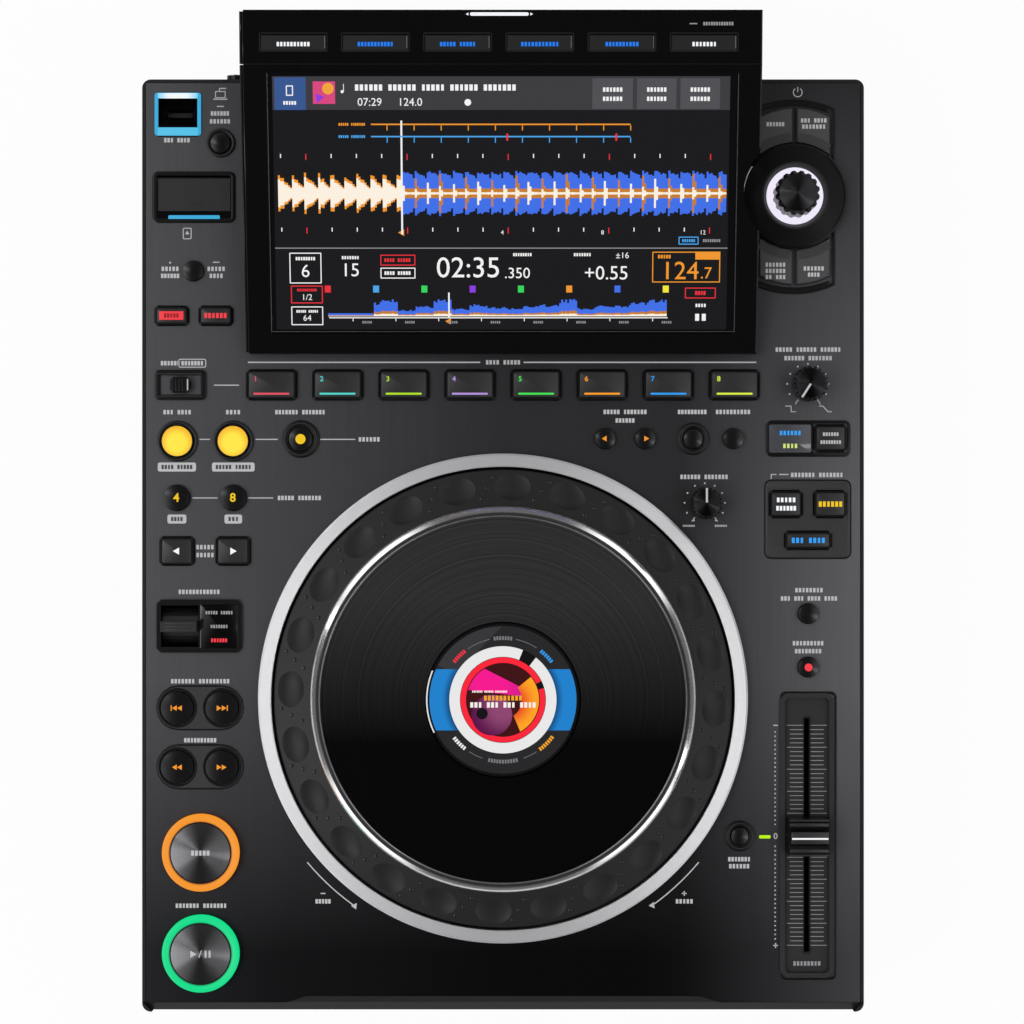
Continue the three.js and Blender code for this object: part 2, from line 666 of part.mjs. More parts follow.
// Selector: a dish on the deck, a shaft that can be pressed and a fluted knob that turns on it
const selectorSpot = besidePod(1, selectorShare);
function addSelector() {
  const selector = new THREE.Group();
  selector.position.set(...selectorSpot, 0);
  deckLevel.add(selector);
  const bore = selectorShaft.radius + seatGap;
  const dishProfile = [
    [bore, -bushing.depth],
    [bushing.radius, -bushing.depth],
    [bushing.radius, seatGap],
    [dish.radius, seatGap],
    [dish.radius, dish.edgeTop],
    [dish.radius - dish.lip, dish.edgeTop + dish.lip],
    [dish.wellRadius + dish.wellSlope, dish.rimTop],
    [dish.wellRadius, dish.wellFloor],
    [bore, dish.wellFloor],
  ];
  piece("selector_dish", turned(dishProfile, 2 * knobSteps), finishes.gloss, selector);
  deckHoles.push(circle(bushing.radius + seatGap, ...selectorSpot));
  boardHoles.push(circle(bushing.radius + seatGap, ...selectorSpot));

  const collarTop = -bushing.depth - seatGap;
  const shaftProfile = [
    [0, selectorShaft.bottom],
    [selectorShaft.radius, selectorShaft.bottom],
    [selectorShaft.radius, collarTop - selectorShaft.collarThickness],
    [selectorShaft.collar, collarTop - selectorShaft.collarThickness],
    [selectorShaft.collar, collarTop],
    [selectorShaft.radius, collarTop],
    [selectorShaft.radius, selectorShaft.top],
    [0, selectorShaft.top],
  ];
  piece("selector_shaft", turned(shaftProfile, knobSteps), finishes.steel, selector);

  const outline = [];
  const points = 3 * selectorKnob.flutes;
  for (let step = 0; step < points; step += 1) {
    const radius = step % 3 === 0 ? selectorKnob.valley : selectorKnob.radius;
    const angle = (step / points) * 2 * Math.PI;
    outline.push(new THREE.Vector2(radius * Math.cos(angle), radius * Math.sin(angle)));
  }
  const knobBottom = dish.wellFloor + selectorKnob.lift;
  const knob = chamfered(outline, knobBottom - selectorKnob.chamfer, selectorKnob.top, selectorKnob.chamfer);
  const base = block(4 * selectorKnob.radius, 4 * selectorKnob.radius, selectorKnob.chamfer, 0, 0,
    knobBottom - selectorKnob.chamfer);
  const socket = prism(circle(bore, 0, 0), knobBottom - overrun, selectorShaft.top + seatGap);
  piece("selector_knob", cut(knob, base, socket), finishes.spun, selector);
}

// The four keys round the dish, each with one edge along the dish and one curved outer edge
function clusterOutline(signX, signY) {
  return (margin) => {
    const near = dish.radius + cluster.gap - margin;
    const inner = cluster.inner - margin * cluster.innerMarginShare;
    const outer = cluster.outer + margin;
    const across = [];
    for (let step = 0; step <= cluster.steps; step += 1) {
      across.push(inner + ((outer - inner) * step) / cluster.steps);
    }
    const nearEdge = across.map((x) => [x, Math.sqrt(near ** 2 - x ** 2)]);
    const farEdge = across.map((x) => [x, cluster.reach + margin - cluster.cornerFall * (x / outer) ** 2]);
    const points = [...nearEdge, ...farEdge.reverse()];
    return points.map(([x, y]) => new THREE.Vector2(signX * x, signY * y));
  };
}

function addClusterKeys() {
  const corners = [["back_key", -1, 1], ["tag_key", 1, 1], ["filter_key", -1, -1], ["shortcut_key", 1, -1]];
  for (const [name, signX, signY] of corners) {
    addKey(name, selectorSpot, clusterOutline(signX, signY), capHeight.cluster, finishes.key);
  }
}

// A knob with its shaft, and a groove on top that shows where it points
function addKnob(name, spot, knob) {
  const profile = [
    [0, knobShaft.bottom],
    [knobShaft.radius, knobShaft.bottom],
    [knobShaft.radius, knob.lift],
    [knob.radius, knob.lift],
    [knob.radius - knob.draft, knob.top - knob.bevel],
    [knob.radius - knob.draft - knob.bevel, knob.top],
    [0, knob.top],
  ];
  const start = knob.radius * pointer.innerShare;
  const length = knob.radius + overrun - start;
  const groove = block(length, pointer.width, pointer.depth + overrun, start + length / 2, 0,
    knob.top - pointer.depth);
  const turnedGroove = groove.rotate([0, 0, knob.pointerAngle]);
  piece(name, cut(turned(profile, knobSteps), turnedGroove), finishes.key, deckLevel, [...spot, 0]);
  deckHoles.push(circle(knobShaft.radius + seatGap, ...spot));
  boardHoles.push(circle(knobShaft.radius + seatGap, ...spot));
}

// Tempo fader: a sunk plate with a slot, and a cap on a blade that runs in it
function addFader() {
  const spot = faderPlace();
  const plateHoleWidth = faderWell.width;
  const neckWidth = plateHoleWidth + 2 * faderSlot.width;
  const neckDepth = faderWell.depth + 2 * faderSlot.width - overrun;
  const frame = chamfered(rectangle(faderPlateWidth + lap, faderPlateDepth, fader.corner), seatGap,
    fader.proud + seatGap, seatGap / 2);
  const neckBottom = -fader.sink;
  const neck = prism(rectangle(neckWidth - 2 * seatGap, neckDepth, fader.corner), neckBottom, fader.proud);
  const well = prism(rectangle(faderWell.width, faderWell.depth, fader.corner / 2), -faderWell.sink,
    fader.proud + overrun);
  const slotLength = fader.travel + faderBlade.depth + 2 * faderSlot.spare;
  const slot = prism(rectangle(faderSlot.width, slotLength), neckBottom - overrun, fader.proud + overrun);
  piece("fader_plate", cut(union(frame, neck), well, slot), finishes.gloss, deckLevel, [...spot, 0]);
  deckHoles.push(rectangle(neckWidth, neckDepth + 2 * seatGap, fader.corner, ...spot));
  const boardSlotDepth = slotLength + faderFoot.depth;
  boardHoles.push(rectangle(faderFoot.width + 2 * seatGap, boardSlotDepth, 0, ...spot));

  const half = faderCap.depth / 2;
  const topHalf = faderCap.topDepth / 2;
  const waistHalf = faderCap.waistDepth / 2;
  const capBody = acrossX([
    [-half, faderCap.bottom],
    [half, faderCap.bottom],
    [topHalf, faderCap.top],
    [waistHalf, faderCap.top - faderCap.waist],
    [-waistHalf, faderCap.top - faderCap.waist],
    [-topHalf, faderCap.top],
  ], faderCap.width / 2);
  const bladeHeight = faderCap.bottom + lap - faderBlade.bottom;
  const blade = block(faderBlade.width, faderBlade.depth, bladeHeight, 0, 0, faderBlade.bottom);
  const runner = block(faderFoot.width, faderFoot.depth, faderFoot.thickness, 0, 0,
    neckBottom - seatGap - faderFoot.thickness);
  piece("tempo_fader_cap", union(capBody, blade, runner), finishes.key, deckLevel, [...spot, 0]);
}

// Direction lever and the bezel that carries its trunnions
function addDirection() {
  const spot = besideWheel(-1, directionShare);
  const slotX = leverSlot.offset;
  const bodyWidth = leverSlot.width + 2 * leverSlot.sideWall;
  const bodyDepth = leverSlot.depth + 2 * leverSlot.endWall;
  const plate = prism(rectangle(directionBezel.width, directionBezel.depth, directionBezel.corner), seatGap,
    directionBezel.proud + seatGap);
  const bodyHeight = directionBezel.proud - leverSlot.bottom;
  const body = block(bodyWidth, bodyDepth, bodyHeight, slotX, 0, leverSlot.bottom);
  const slotHeight = bodyHeight + 2 * overrun;
  const slot = block(leverSlot.width, leverSlot.depth, slotHeight, slotX, 0, leverSlot.bottom - overrun);
  const bore = bar(lever.trunnion + runGap, bodyWidth + 2 * overrun, "x", slotX, 0, lever.axisZ);
  piece("direction_bezel", cut(union(plate, body), slot, bore), finishes.case, deckLevel, [...spot, 0]);
  const holeX = spot[0] + slotX;
  const hole = rectangle(bodyWidth + 2 * seatGap, bodyDepth + 2 * seatGap, 0, holeX, spot[1]);
  deckHoles.push(hole);
  boardHoles.push(hole);

  const drumLength = leverSlot.width - 2 * runGap;
  const drum = bar(lever.drumRadius, drumLength, "x", 0, 0, lever.axisZ, knobSteps);
  const bladeHeight = lever.bladeTop - lever.axisZ;
  const blade = block(drumLength, lever.bladeDepth, bladeHeight, 0, 0, lever.axisZ);
  const trunnionSpan = drumLength + 2 * (lever.trunnionLength + runGap);
  const trunnions = bar(lever.trunnion, trunnionSpan, "x", 0, 0, lever.axisZ);
  piece("direction_lever", union(drum, blade, trunnions), finishes.key, deckLevel, [holeX, spot[1], 0]);
}

// Slide switch: a cap over the deck, and a stem through a short slot to a runner under it
function addCueSwitch() {
  const spot = behindWheel(-1, cueSwitchShare);
  const capOutline = rectangle(cueSwitch.width, cueSwitch.depth, key.corner);
  const cap = chamfered(capOutline, cueSwitch.lift, cueSwitch.top, key.chamfer);
  const stemHeight = cueSwitch.lift + key.chamfer + lap - flangeBottom;
  const stem = block(cueSwitch.stemWidth, cueSwitch.stemDepth, stemHeight, 0, 0, flangeBottom);
  const runner = block(cueSwitch.width, cueSwitch.depth, key.flangeThickness, 0, 0, flangeBottom);
  piece("cue_switch", union(cap, stem, runner), finishes.key, deckLevel, [...spot, 0]);
  const slotWidth = cueSwitch.stemWidth + 2 * cueSwitch.travel + 2 * seatGap;
  deckHoles.push(rectangle(slotWidth, cueSwitch.stemDepth + 2 * seatGap, 0, ...spot));
}

// Media bay: one moulding with the stick well and the card frame, on a plate under the deck
function addMediaBay() {
  const stickSpot = besidePod(-1, stickBayShare);
  const cardSpot = besidePod(-1, cardBayShare);
  const bayBottom = -cardBay.sink;
  const stickOutline = rectangle(stickBay.width, stickBay.depth, stickBay.corner, ...stickSpot);
  const cardOutline = rectangle(cardBay.width, cardBay.depth, cardBay.corner, ...cardSpot);
  const plateOutlineSize = [
    Math.max(stickBay.width, cardBay.width) / 2,
    stickSpot[1] - cardSpot[1],
  ];
  const plate = block(plateOutlineSize[0], plateOutlineSize[1], bayPlate, (stickSpot[0] + cardSpot[0]) / 2,
    (stickSpot[1] + cardSpot[1]) / 2, bayBottom);
  const well = prism(
    rectangle(stickBay.wellWidth, stickBay.wellDepth, 0, stickSpot[0], stickSpot[1] + stickWellOffset),
    stickLip - stickBay.wellSink,
    stickLip + overrun,
  );
  const axisY = cardSpot[1] + flap.offset;
  const axisZ = flap.top - flap.knuckle;
  const recessRear = axisY + flap.knuckle + seatGap;
  const recessFront = axisY - flap.depth - seatGap;
  const recessDepth = recessRear - recessFront;
  const recessMiddle = (recessRear + recessFront) / 2;
  const recess = prism(rectangle(cardBay.recessWidth, recessDepth, 0, cardSpot[0], recessMiddle),
    -cardBay.recessSink, cardBay.proud + overrun);
  const slit = prism(rectangle(cardSlit.width, cardSlit.depth, 0, cardSpot[0], recessMiddle),
    -cardSlit.sink, 0);
  const pinBore = bar(flap.knuckle + seatGap, flap.width + 2 * (flap.pinLength + seatGap), "x", cardSpot[0],
    axisY, axisZ);
  const stickBlock = prism(stickOutline, bayBottom, stickLip);
  const cardBlock = prism(cardOutline, bayBottom, cardBay.proud);
  const body = cut(union(stickBlock, cardBlock, plate), well, recess, slit, pinBore);
  piece("media_bay", body, finishes.gloss, deckLevel);
  for (const holes of [deckHoles, boardHoles]) {
    const stickHole = [stickBay.width + 2 * seatGap, stickBay.depth + 2 * seatGap, stickBay.corner + seatGap];
    const cardHole = [cardBay.width + 2 * seatGap, cardBay.depth + 2 * seatGap, cardBay.corner + seatGap];
    holes.push(rectangle(...stickHole, ...stickSpot));
    holes.push(rectangle(...cardHole, ...cardSpot));
  }

  const leaf = block(flap.width, flap.depth, flap.thickness, 0, -flap.depth / 2,
    flap.top - flap.thickness - axisZ);
  const knuckle = bar(flap.knuckle, flap.width + 2 * flap.pinLength, "x", 0, 0, 0);
  piece("card_flap", union(leaf, knuckle), finishes.key, deckLevel, [cardSpot[0], axisY, axisZ]);
}

// Keys on the deck
function addKeys() {
  const padPitch = halfWidth * padPitchShare;
  for (let index = 0; index < pad.count; index += 1) {
    const x = (index - (pad.count - 1) / 2) * padPitch;
    const spot = [x, jogRearY + rearBand * padRowShare];
    addKey(`pad_${index + 1}`, spot, rectangularKey(pad), capHeight.pad, finishes.key);
  }
  addKey("loop_in", behindWheel(-1, loopInShare), roundKey(loopKeyRadius), capHeight.lit, finishes.amber);
  addKey("loop_out", behindWheel(-1, loopOutShare), roundKey(loopKeyRadius), capHeight.lit, finishes.amber);
  addKey("reloop", acrossBand(-1, reloopShare), roundKey(reloopRadius), capHeight.round, finishes.key);
  addKey("cue_button", besideWheel(-1, cueShare),
    roundKey(largeKeyRadius, knobSteps), capHeight.large, finishes.spun);
  addKey("play_button", besideWheel(-1, playShare),
    roundKey(largeKeyRadius, knobSteps), capHeight.large, finishes.spun);
  addKey("jog_mode_key", behindWheel(1, jogModeShare),
    rectangularKey(squareKey), capHeight.square, finishes.key);
  addKey("beat_sync_key", besideWheel(1, beatSyncShare),
    rectangularKey(squareKey), capHeight.square, finishes.key);
  addKey("master_key", besideWheel(1, masterShare),
    rectangularKey(squareKey), capHeight.square, finishes.key);
  addKey("key_sync_key", besideWheel(1, keySyncShare),
    rectangularKey(keySync), capHeight.square, finishes.key);
}

// Small keys whose tops share one moulded carrier
function addKeyGroups() {
  const beatLoops = beatLoopShares.map((share) => besideWheel(-1, share));
  const beatJumps = beatJumpShares.map((share) => besideWheel(-1, share));
  addKeyGroup("beat_keys", [
    ...beatLoops.map((spot) => [spot, roundKey(beatLoopRadius), capHeight.round]),
    ...beatJumps.map((spot) => [spot, rectangularKey(jumpKey), capHeight.square]),
  ], [armBetween(...beatLoops), armBetween(...beatJumps), armBetween(beatLoops[0], beatJumps[0])], finishes.key);

  const searches = searchShares.map((share) => besideWheel(-1, share));
  addKeyGroup("search_keys", searches.map((spot) => [spot, roundKey(searchRadius), capHeight.round]), [
    armBetween(searches[0], searches[1]), armBetween(searches[2], searches[3]), armBetween(searches[0], searches[2]),
  ], finishes.key);

  const calls = callShares.map((share) => acrossBand(1, share));
  addKeyGroup("call_keys", calls.map((spot) => [spot, roundKey(smallKeyRadius), capHeight.round]), [
    armBetween(calls[0], calls[calls.length - 1]),
  ], finishes.key);

  const faderRearY = faderPlace()[1] + faderPlateDepth / 2;
  const gapEndY = besideWheel(1, keySyncShare)[1] - keySync.depth / 2;
  const tempoX = halfWidth - columnWidth * tempoKeyColumnShare;
  const tempos = tempoKeyGapShares.map((share) => [tempoX, faderRearY + share * (gapEndY - faderRearY)]);
  const reset = besideWheel(1, tempoResetShare);
  const faderSpot = faderPlace();
  const armX = faderSpot[0] - faderPlateWidth / 2 - armWidth;
  addKeyGroup("tempo_keys", [
    ...tempos.map((spot) => [spot, roundKey(smallKeyRadius), capHeight.round]),
    [reset, roundKey(resetRadius), capHeight.round],
  ], [
    armBetween(tempos[0], tempos[1]),
    armBetween(tempos[1], [armX, tempos[1][1]]),
    armBetween([armX, tempos[1][1]], [armX, reset[1]]),
    armBetween([armX, reset[1]], reset),
  ], finishes.key);

  const slips = slipKeyShares.map((share) => besidePod(-1, share));
  const timeKey = besidePod(-1, timeKeyShare);
  const stopKey = besidePod(-1, stopKeyShare);
  const cardSpot = besidePod(-1, cardBayShare);
  const passX = cardSpot[0] + cardBay.width / 2 + armWidth;
  addKeyGroup("mode_keys", [
    ...slips.map((spot) => [spot, rectangularKey(slipKey), capHeight.square]),
    [timeKey, roundKey(smallKeyRadius), capHeight.round],
    [stopKey, roundKey(smallKeyRadius), capHeight.round],
  ], [
    armBetween(slips[0], slips[1]),
    armBetween(timeKey, [timeKey[0], slips[0][1]]),
    armBetween([slips[1][0], slips[1][1]], [passX, slips[1][1]]),
    armBetween([passX, slips[1][1]], [passX, stopKey[1]]),
    armBetween([passX, stopKey[1]], stopKey),
  ], finishes.key);
}

// A plate with a hole for each outline in a list
function pierced(outline, bottom, top, holes) {
  return cut(prism(outline, bottom, top), ...holes.map((hole) => prism(hole, bottom - overrun, top + overrun)));
}

// Deck plate and the switch board under it
function addDeckPlate() {
  piece("deck_panel", pierced(plateOutline(0), -panelThickness, 0, deckHoles), finishes.deck, deckLevel);
  const width = 2 * (halfWidth - upperWall - seatGap);
  const depth = caseDepth - 2 * (upperWall + seatGap);
  const outline = rectangle(width, depth, cornerRadius, 0, caseMiddleY);
  piece("panel_board", pierced(outline, boardBottom, boardTop, boardHoles), finishes.board, deckLevel);
}

// Screen pod: its top falls along the screen, and lies flatter along the strip of keys behind the fold
const flatTilt = THREE.MathUtils.degToRad(stripTilt);
const foldY = podRearY - foldInset;
const podTopZ = podHeight;
const foldZ = podTopZ - foldInset * Math.tan(flatTilt);
const podFrontZ = podFrontHeight;
const tilt = Math.atan2(foldZ - podFrontZ, foldY - podFrontY);
const slopeLength = (foldY - podFrontY) / Math.cos(tilt);
const screenWidth = 2 * (podHalfWidth - screenSide);
const screenLength = slopeLength - screenFront - screenRear;
const screenMiddle = screenFront + screenLength / 2;

function podTop(drop) {
  const screenDrop = drop / Math.cos(tilt);
  const stripDrop = drop / Math.cos(flatTilt);
  return [
    [podRearY, podTopZ - stripDrop],
    [foldY, foldZ - (screenDrop + stripDrop) / 2],
    [podFrontY, podFrontZ - screenDrop],
  ];
}

function notch() {
  return prism(circle(dish.radius + cluster.gap, ...selectorSpot, 2 * knobSteps), -overrun, podTopZ + overrun);
}

function addPod() {
  const { wall, floor, rearHeight, undercut, rearLip } = podShell;
  const lowerTop = podTop(bezelThickness + seatGap);
  const shell = acrossX([
    [podFrontY, seatGap],
    [rearY, seatGap],
    [podRearY - undercut, rearHeight],
    [podRearY, rearHeight + rearLip],
    ...lowerTop,
  ], podHalfWidth);
  const inside = acrossX([
    [podFrontY + wall, seatGap + floor],
    [rearY, seatGap + floor],
    [podRearY - undercut - wall, rearHeight + floor],
    [podRearY - wall, rearHeight + rearLip + floor],
    [podRearY - wall, podTopZ + overrun],
    [podFrontY + wall, podTopZ + overrun],
  ], podHalfWidth - wall);
  const notchWall = prism(circle(dish.radius + cluster.gap + wall, ...selectorSpot, 2 * knobSteps), seatGap,
    podTopZ + overrun);
  const body = cut(shell, cut(inside, notchWall), notch());
  piece("display_housing", body, finishes.gloss, deckLevel);

  // Bezel, cut by a flared window and by the slots of the strip keys
  const slab = acrossX([...podTop(0), ...podTop(bezelThickness).reverse()], podHalfWidth);
  const flare = new THREE.BoxGeometry(screenWidth, screenLength, bezelThickness + 2 * overrun);
  const corners = flare.attributes.position;
  const flareScale = 1 + (2 * windowFlare) / screenWidth;
  const flareLengthScale = 1 + windowFlare / screenLength;
  for (let index = 0; index < corners.count; index += 1) {
    if (corners.getZ(index) > 0) {
      corners.setX(index, corners.getX(index) * flareScale);
      corners.setY(index, corners.getY(index) * flareLengthScale);
    }
  }
  flare.translate(0, screenMiddle, -bezelThickness / 2);
  flare.rotateX(tilt);
  flare.translate(0, podFrontY, podFrontZ);
  const slots = [];
  for (let index = 0; index < stripKey.count; index += 1) {
    const slotDepth = stripKey.depth + 2 * key.gap;
    const slot = new THREE.BoxGeometry(stripKey.width + 2 * key.gap, slotDepth, 2 * bezelThickness + 2 * overrun);
    slot.translate(stripKeyX(index), stripKeyInset, 0);
    slot.rotateX(flatTilt);
    slot.translate(0, foldY, foldZ);
    slots.push(solid(slot));
  }
  piece("display_bezel", cut(slab, solid(flare), ...slots, notch()), finishes.gloss, deckLevel);

  // Screen under the window
  const slope = new THREE.Group();
  slope.position.set(0, podFrontY, podFrontZ);
  slope.rotation.x = tilt;
  deckLevel.add(slope);
  const glassWidth = screenWidth + 2 * screenBorder;
  const glassLength = screenLength + 2 * screenBorder;
  const glassBottom = -bezelThickness - seatGap - screenThickness;
  piece("display_screen", block(glassWidth, glassLength, screenThickness), finishes.screen, slope,
    [0, screenMiddle, glassBottom]);

  // Strip keys on one rubber mat
  const strip = new THREE.Group();
  strip.position.set(0, foldY, foldZ);
  strip.rotation.x = flatTilt;
  deckLevel.add(strip);
  const matTop = -bezelThickness - seatGap;
  const matBottom = matTop - key.flangeThickness;
  const tops = [];
  for (let index = 0; index < stripKey.count; index += 1) {
    const outline = rectangle(stripKey.width, stripKey.depth, key.chamfer, stripKeyX(index), stripKeyInset);
    tops.push(chamfered(outline, matBottom + lap, stripKey.proud, key.chamfer / 2));
  }
  const matWidth = stripKey.pitch * (stripKey.count - 1) + stripKey.width + 2 * key.flangeMargin;
  const matDepth = stripKey.depth + 2 * key.flangeMargin;
  const mat = block(matWidth, matDepth, key.flangeThickness, stripKey.offset, stripKeyInset, matBottom);
  piece("display_keys", union(mat, ...tops), finishes.key, strip);
}

function stripKeyX(index) {
  return stripKey.offset + (index - (stripKey.count - 1) / 2) * stripKey.pitch;
}

// Rear sockets
function addPowerKey() {
  const x = rearX(powerKey.share);
  const stemLength = trayWall + powerKey.proud + lap;
  const cap = bar(powerKey.radius, stemLength, "y", 0, rearY + powerKey.proud - stemLength / 2, 0);
  const collarLength = powerKey.length - powerKey.proud;
  const collarY = rearInnerY - seatGap - collarLength / 2;
  const collar = bar(powerKey.radius + key.flangeMargin, collarLength, "y", 0, collarY, 0);
  const neckLength = 2 * (lap + seatGap);
  const neck = bar(powerKey.radius, neckLength, "y", 0, rearInnerY - seatGap, 0);
  piece("power_button", union(cap, neck, collar), finishes.key, player, [x, 0, socketLineZ]);
}

function addInlet() {
  const x = rearX(inlet.share);
  const flangeWidth = inlet.width + 2 * inlet.flangeMargin;
  const flangeHeight = inlet.height + 2 * inlet.flangeMargin;
  const flange = block(flangeWidth, inlet.flange, flangeHeight, 0,
    rearY + seatGap + inlet.flange / 2, -flangeHeight / 2);
  const faceY = rearY + seatGap + inlet.flange;
  const body = block(inlet.width, inlet.depth, inlet.height, 0, faceY - inlet.depth / 2, -inlet.height / 2);
  const wellY = faceY - inletWell.depth / 2;
  const well = block(inletWell.width, inletWell.depth + overrun, inletWell.height, 0, wellY + overrun / 2,
    -inletWell.height / 2);
  const pinY = faceY - inletWell.depth - lap + inletWell.pinLength / 2;
  const pins = [-1, 0, 1].map((slot) => block(inletWell.pinWidth, inletWell.pinLength, inletWell.pinHeight,
    slot * inletWell.pinPitch, pinY, -inletWell.pinHeight / 2));
  piece("ac_inlet", union(cut(union(flange, body), well), ...pins), finishes.case, player, [x, 0, socketLineZ]);
}

// Jack board: three phono jacks, a network port and a square data port on one board
function addJackBoard() {
  const boardTopZ = socketLineZ - jackBoard.drop;
  const boardY = rearInnerY - seatGap - jackBoard.depth / 2;
  const board = block(jackBoard.width, jackBoard.depth, jackBoard.thickness, rearX(jackBoard.share), boardY,
    boardTopZ - jackBoard.thickness);
  const bodies = [];
  const wells = [];
  for (const share of phono.shares) {
    const x = rearX(share);
    const blockBottom = boardTopZ - lap;
    const height = socketLineZ + phono.block / 2 - blockBottom;
    const blockY = rearInnerY - seatGap - phono.block / 2;
    bodies.push(block(phono.block, phono.block, height, x, blockY, blockBottom));
    const reach = phono.reach + trayWall + seatGap + lap;
    bodies.push(bar(phono.radius, reach, "y", x, rearY + phono.reach - reach / 2, socketLineZ));
  }
  for (const port of [network, squarePort]) {
    const x = rearX(port.share);
    const faceY = rearY + seatGap;
    const bottom = boardTopZ - lap;
    const innerTop = socketLineZ + port.height / 2;
    const depthInside = port.depth - trayWall - 2 * seatGap;
    bodies.push(block(port.width, depthInside, innerTop - bottom, x,
      rearInnerY - seatGap - depthInside / 2, bottom));
    bodies.push(block(port.width, port.depth, port.height, x, faceY - port.depth / 2,
      socketLineZ - port.height / 2));
    wells.push(block(port.wellWidth, port.wellDepth + overrun, port.wellHeight, x,
      faceY - (port.wellDepth - overrun) / 2, socketLineZ - port.wellHeight / 2));
  }
  piece("jack_board", cut(union(board, ...bodies), ...wells), finishes.board);
}

// Boards in the tray
function addBoards() {
  const boardZ = floorZ + mainBoard.bossHeight + seatGap;
  const board = block(mainBoard.width, mainBoard.depth, boardThickness, 0, 0, 0);
  const chips = [-1, 0, 1].map((slot) => block(chip.width, chip.width, chip.height + lap,
    slot * mainBoard.width * chip.pitchShare, 0, boardThickness - lap));
  piece("main_board", union(board, ...chips), finishes.board, player, [mainBoardX, mainBoardY, boardZ]);

  const supplyX = rearX(powerSupply.share);
  const supplyY = frontY + caseDepth * powerSupply.depthShare;
  const legs = block(powerSupply.width, powerSupply.depth, powerSupply.boardHeight);
  const cans = [-1, 1].map((slot) => block(transformer.width, transformer.width, transformer.height + lap,
    slot * transformer.width * (1 - chip.pitchShare), 0, powerSupply.boardHeight - lap));
  piece("power_supply", union(legs, ...cans), finishes.steel, player, [supplyX, supplyY, floorZ + seatGap]);
}

addFeet();
addTray();
addUpperCase();
addJog();
addSelector();
addClusterKeys();
addKnob("speed_knob", behindWheel(1, speedKnobShare), speedKnob);
addKnob("jog_adjust_knob", [halfWidth * jogAdjustShare[0], frontY + sideSpan * jogAdjustShare[1]], adjustKnob);
addFader();
addDirection();
addCueSwitch();
addMediaBay();
addKeys();
addKeyGroups();
addDeckPlate();
addPod();
addPowerKey();
addInlet();
addJackBoard();
addBoards();

export default player;
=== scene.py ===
"""Looks of a tabletop media player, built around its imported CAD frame.

The CAD parts are the case, the keys and the wheel. This script gives each its finish and adds
what is printed, lit or trimmed on them: legends, lamps, rims, the screen's picture and screws.
Sizes are in millimetres until they reach Blender.
"""

import logging
import math
from collections.abc import Sequence
from dataclasses import dataclass, field, replace
from enum import Enum
from random import Random
from typing import Self

import bmesh
import bpy
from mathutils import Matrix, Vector


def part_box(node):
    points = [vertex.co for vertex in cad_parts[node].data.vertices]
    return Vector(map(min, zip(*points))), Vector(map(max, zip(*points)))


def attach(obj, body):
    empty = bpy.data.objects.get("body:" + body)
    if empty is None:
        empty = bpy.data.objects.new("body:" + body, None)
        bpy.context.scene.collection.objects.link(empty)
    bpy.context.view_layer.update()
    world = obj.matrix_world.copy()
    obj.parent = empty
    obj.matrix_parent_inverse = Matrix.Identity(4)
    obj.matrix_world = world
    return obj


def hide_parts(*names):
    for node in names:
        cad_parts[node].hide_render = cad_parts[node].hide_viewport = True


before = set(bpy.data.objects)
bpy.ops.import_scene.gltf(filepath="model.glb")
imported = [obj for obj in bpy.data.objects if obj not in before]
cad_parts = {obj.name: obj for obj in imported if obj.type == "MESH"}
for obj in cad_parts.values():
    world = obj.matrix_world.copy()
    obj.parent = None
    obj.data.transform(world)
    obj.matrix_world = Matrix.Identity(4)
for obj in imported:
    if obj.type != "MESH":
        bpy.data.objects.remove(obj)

log = logging.getLogger("player")

MM = 0.001
Piece = bpy.types.Object
Tree = bpy.types.NodeTree
Socket = bpy.types.NodeSocket
NODES: dict[str, Piece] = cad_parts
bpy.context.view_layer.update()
DECK = 80.0  # top of the deck panel above the table
FACE_TOP = 82.0  # top of the thin faces on the square keys
DOME_TOP = 82.3  # top of the domes on the round keys
Point = tuple[float, float]
Rows = tuple[tuple[float, ...], ...]
WHEEL = (0.0, -82.0)  # the jog wheel's centre
# Where the deck's painted shade and painted highlight change, for Map Range nodes: 1 and 2 are places in
# metres, 3 and 4 shares
PAINTED_SHADE_RIGHT = {1: 0.062, 2: 0.16, 3: 1.0, 4: 0.62}
PAINTED_SHADE_LEFT = {1: -0.16, 2: -0.1, 3: 0.9, 4: 1.0}
PAINTED_SHEEN_LEFT = {1: -0.16, 2: 0.0}
PAINTED_SHEEN_RIGHT = {1: 0.082, 2: 0.16}
PAINTED_SHEEN_REAR = {1: 0.197, 2: 0.008, 3: 0.0, 4: 1.0}


class Grain(Enum):
    """How a surface was made, which sets its fine relief."""

    MOULDED = "moulded"
    BRUSHED = "brushed"
    TURNED = "turned"
    POWDER = "powder"
    PIXELS = "pixels"


def linear(code: str) -> tuple[float, float, float, float]:
    """Turns an sRGB hex colour to the linear values that Blender's shaders take.

    Args:
        code: the colour as "#rrggbb".

    Returns:
        Red, green, blue and an alpha of 1.
    """
    parts = [int(code[i : i + 2], 16) / 255 for i in (1, 3, 5)]
    red, green, blue = (p / 12.92 if p <= 0.04045 else ((p + 0.055) / 1.055) ** 2.4 for p in parts)
    return red, green, blue, 1.0


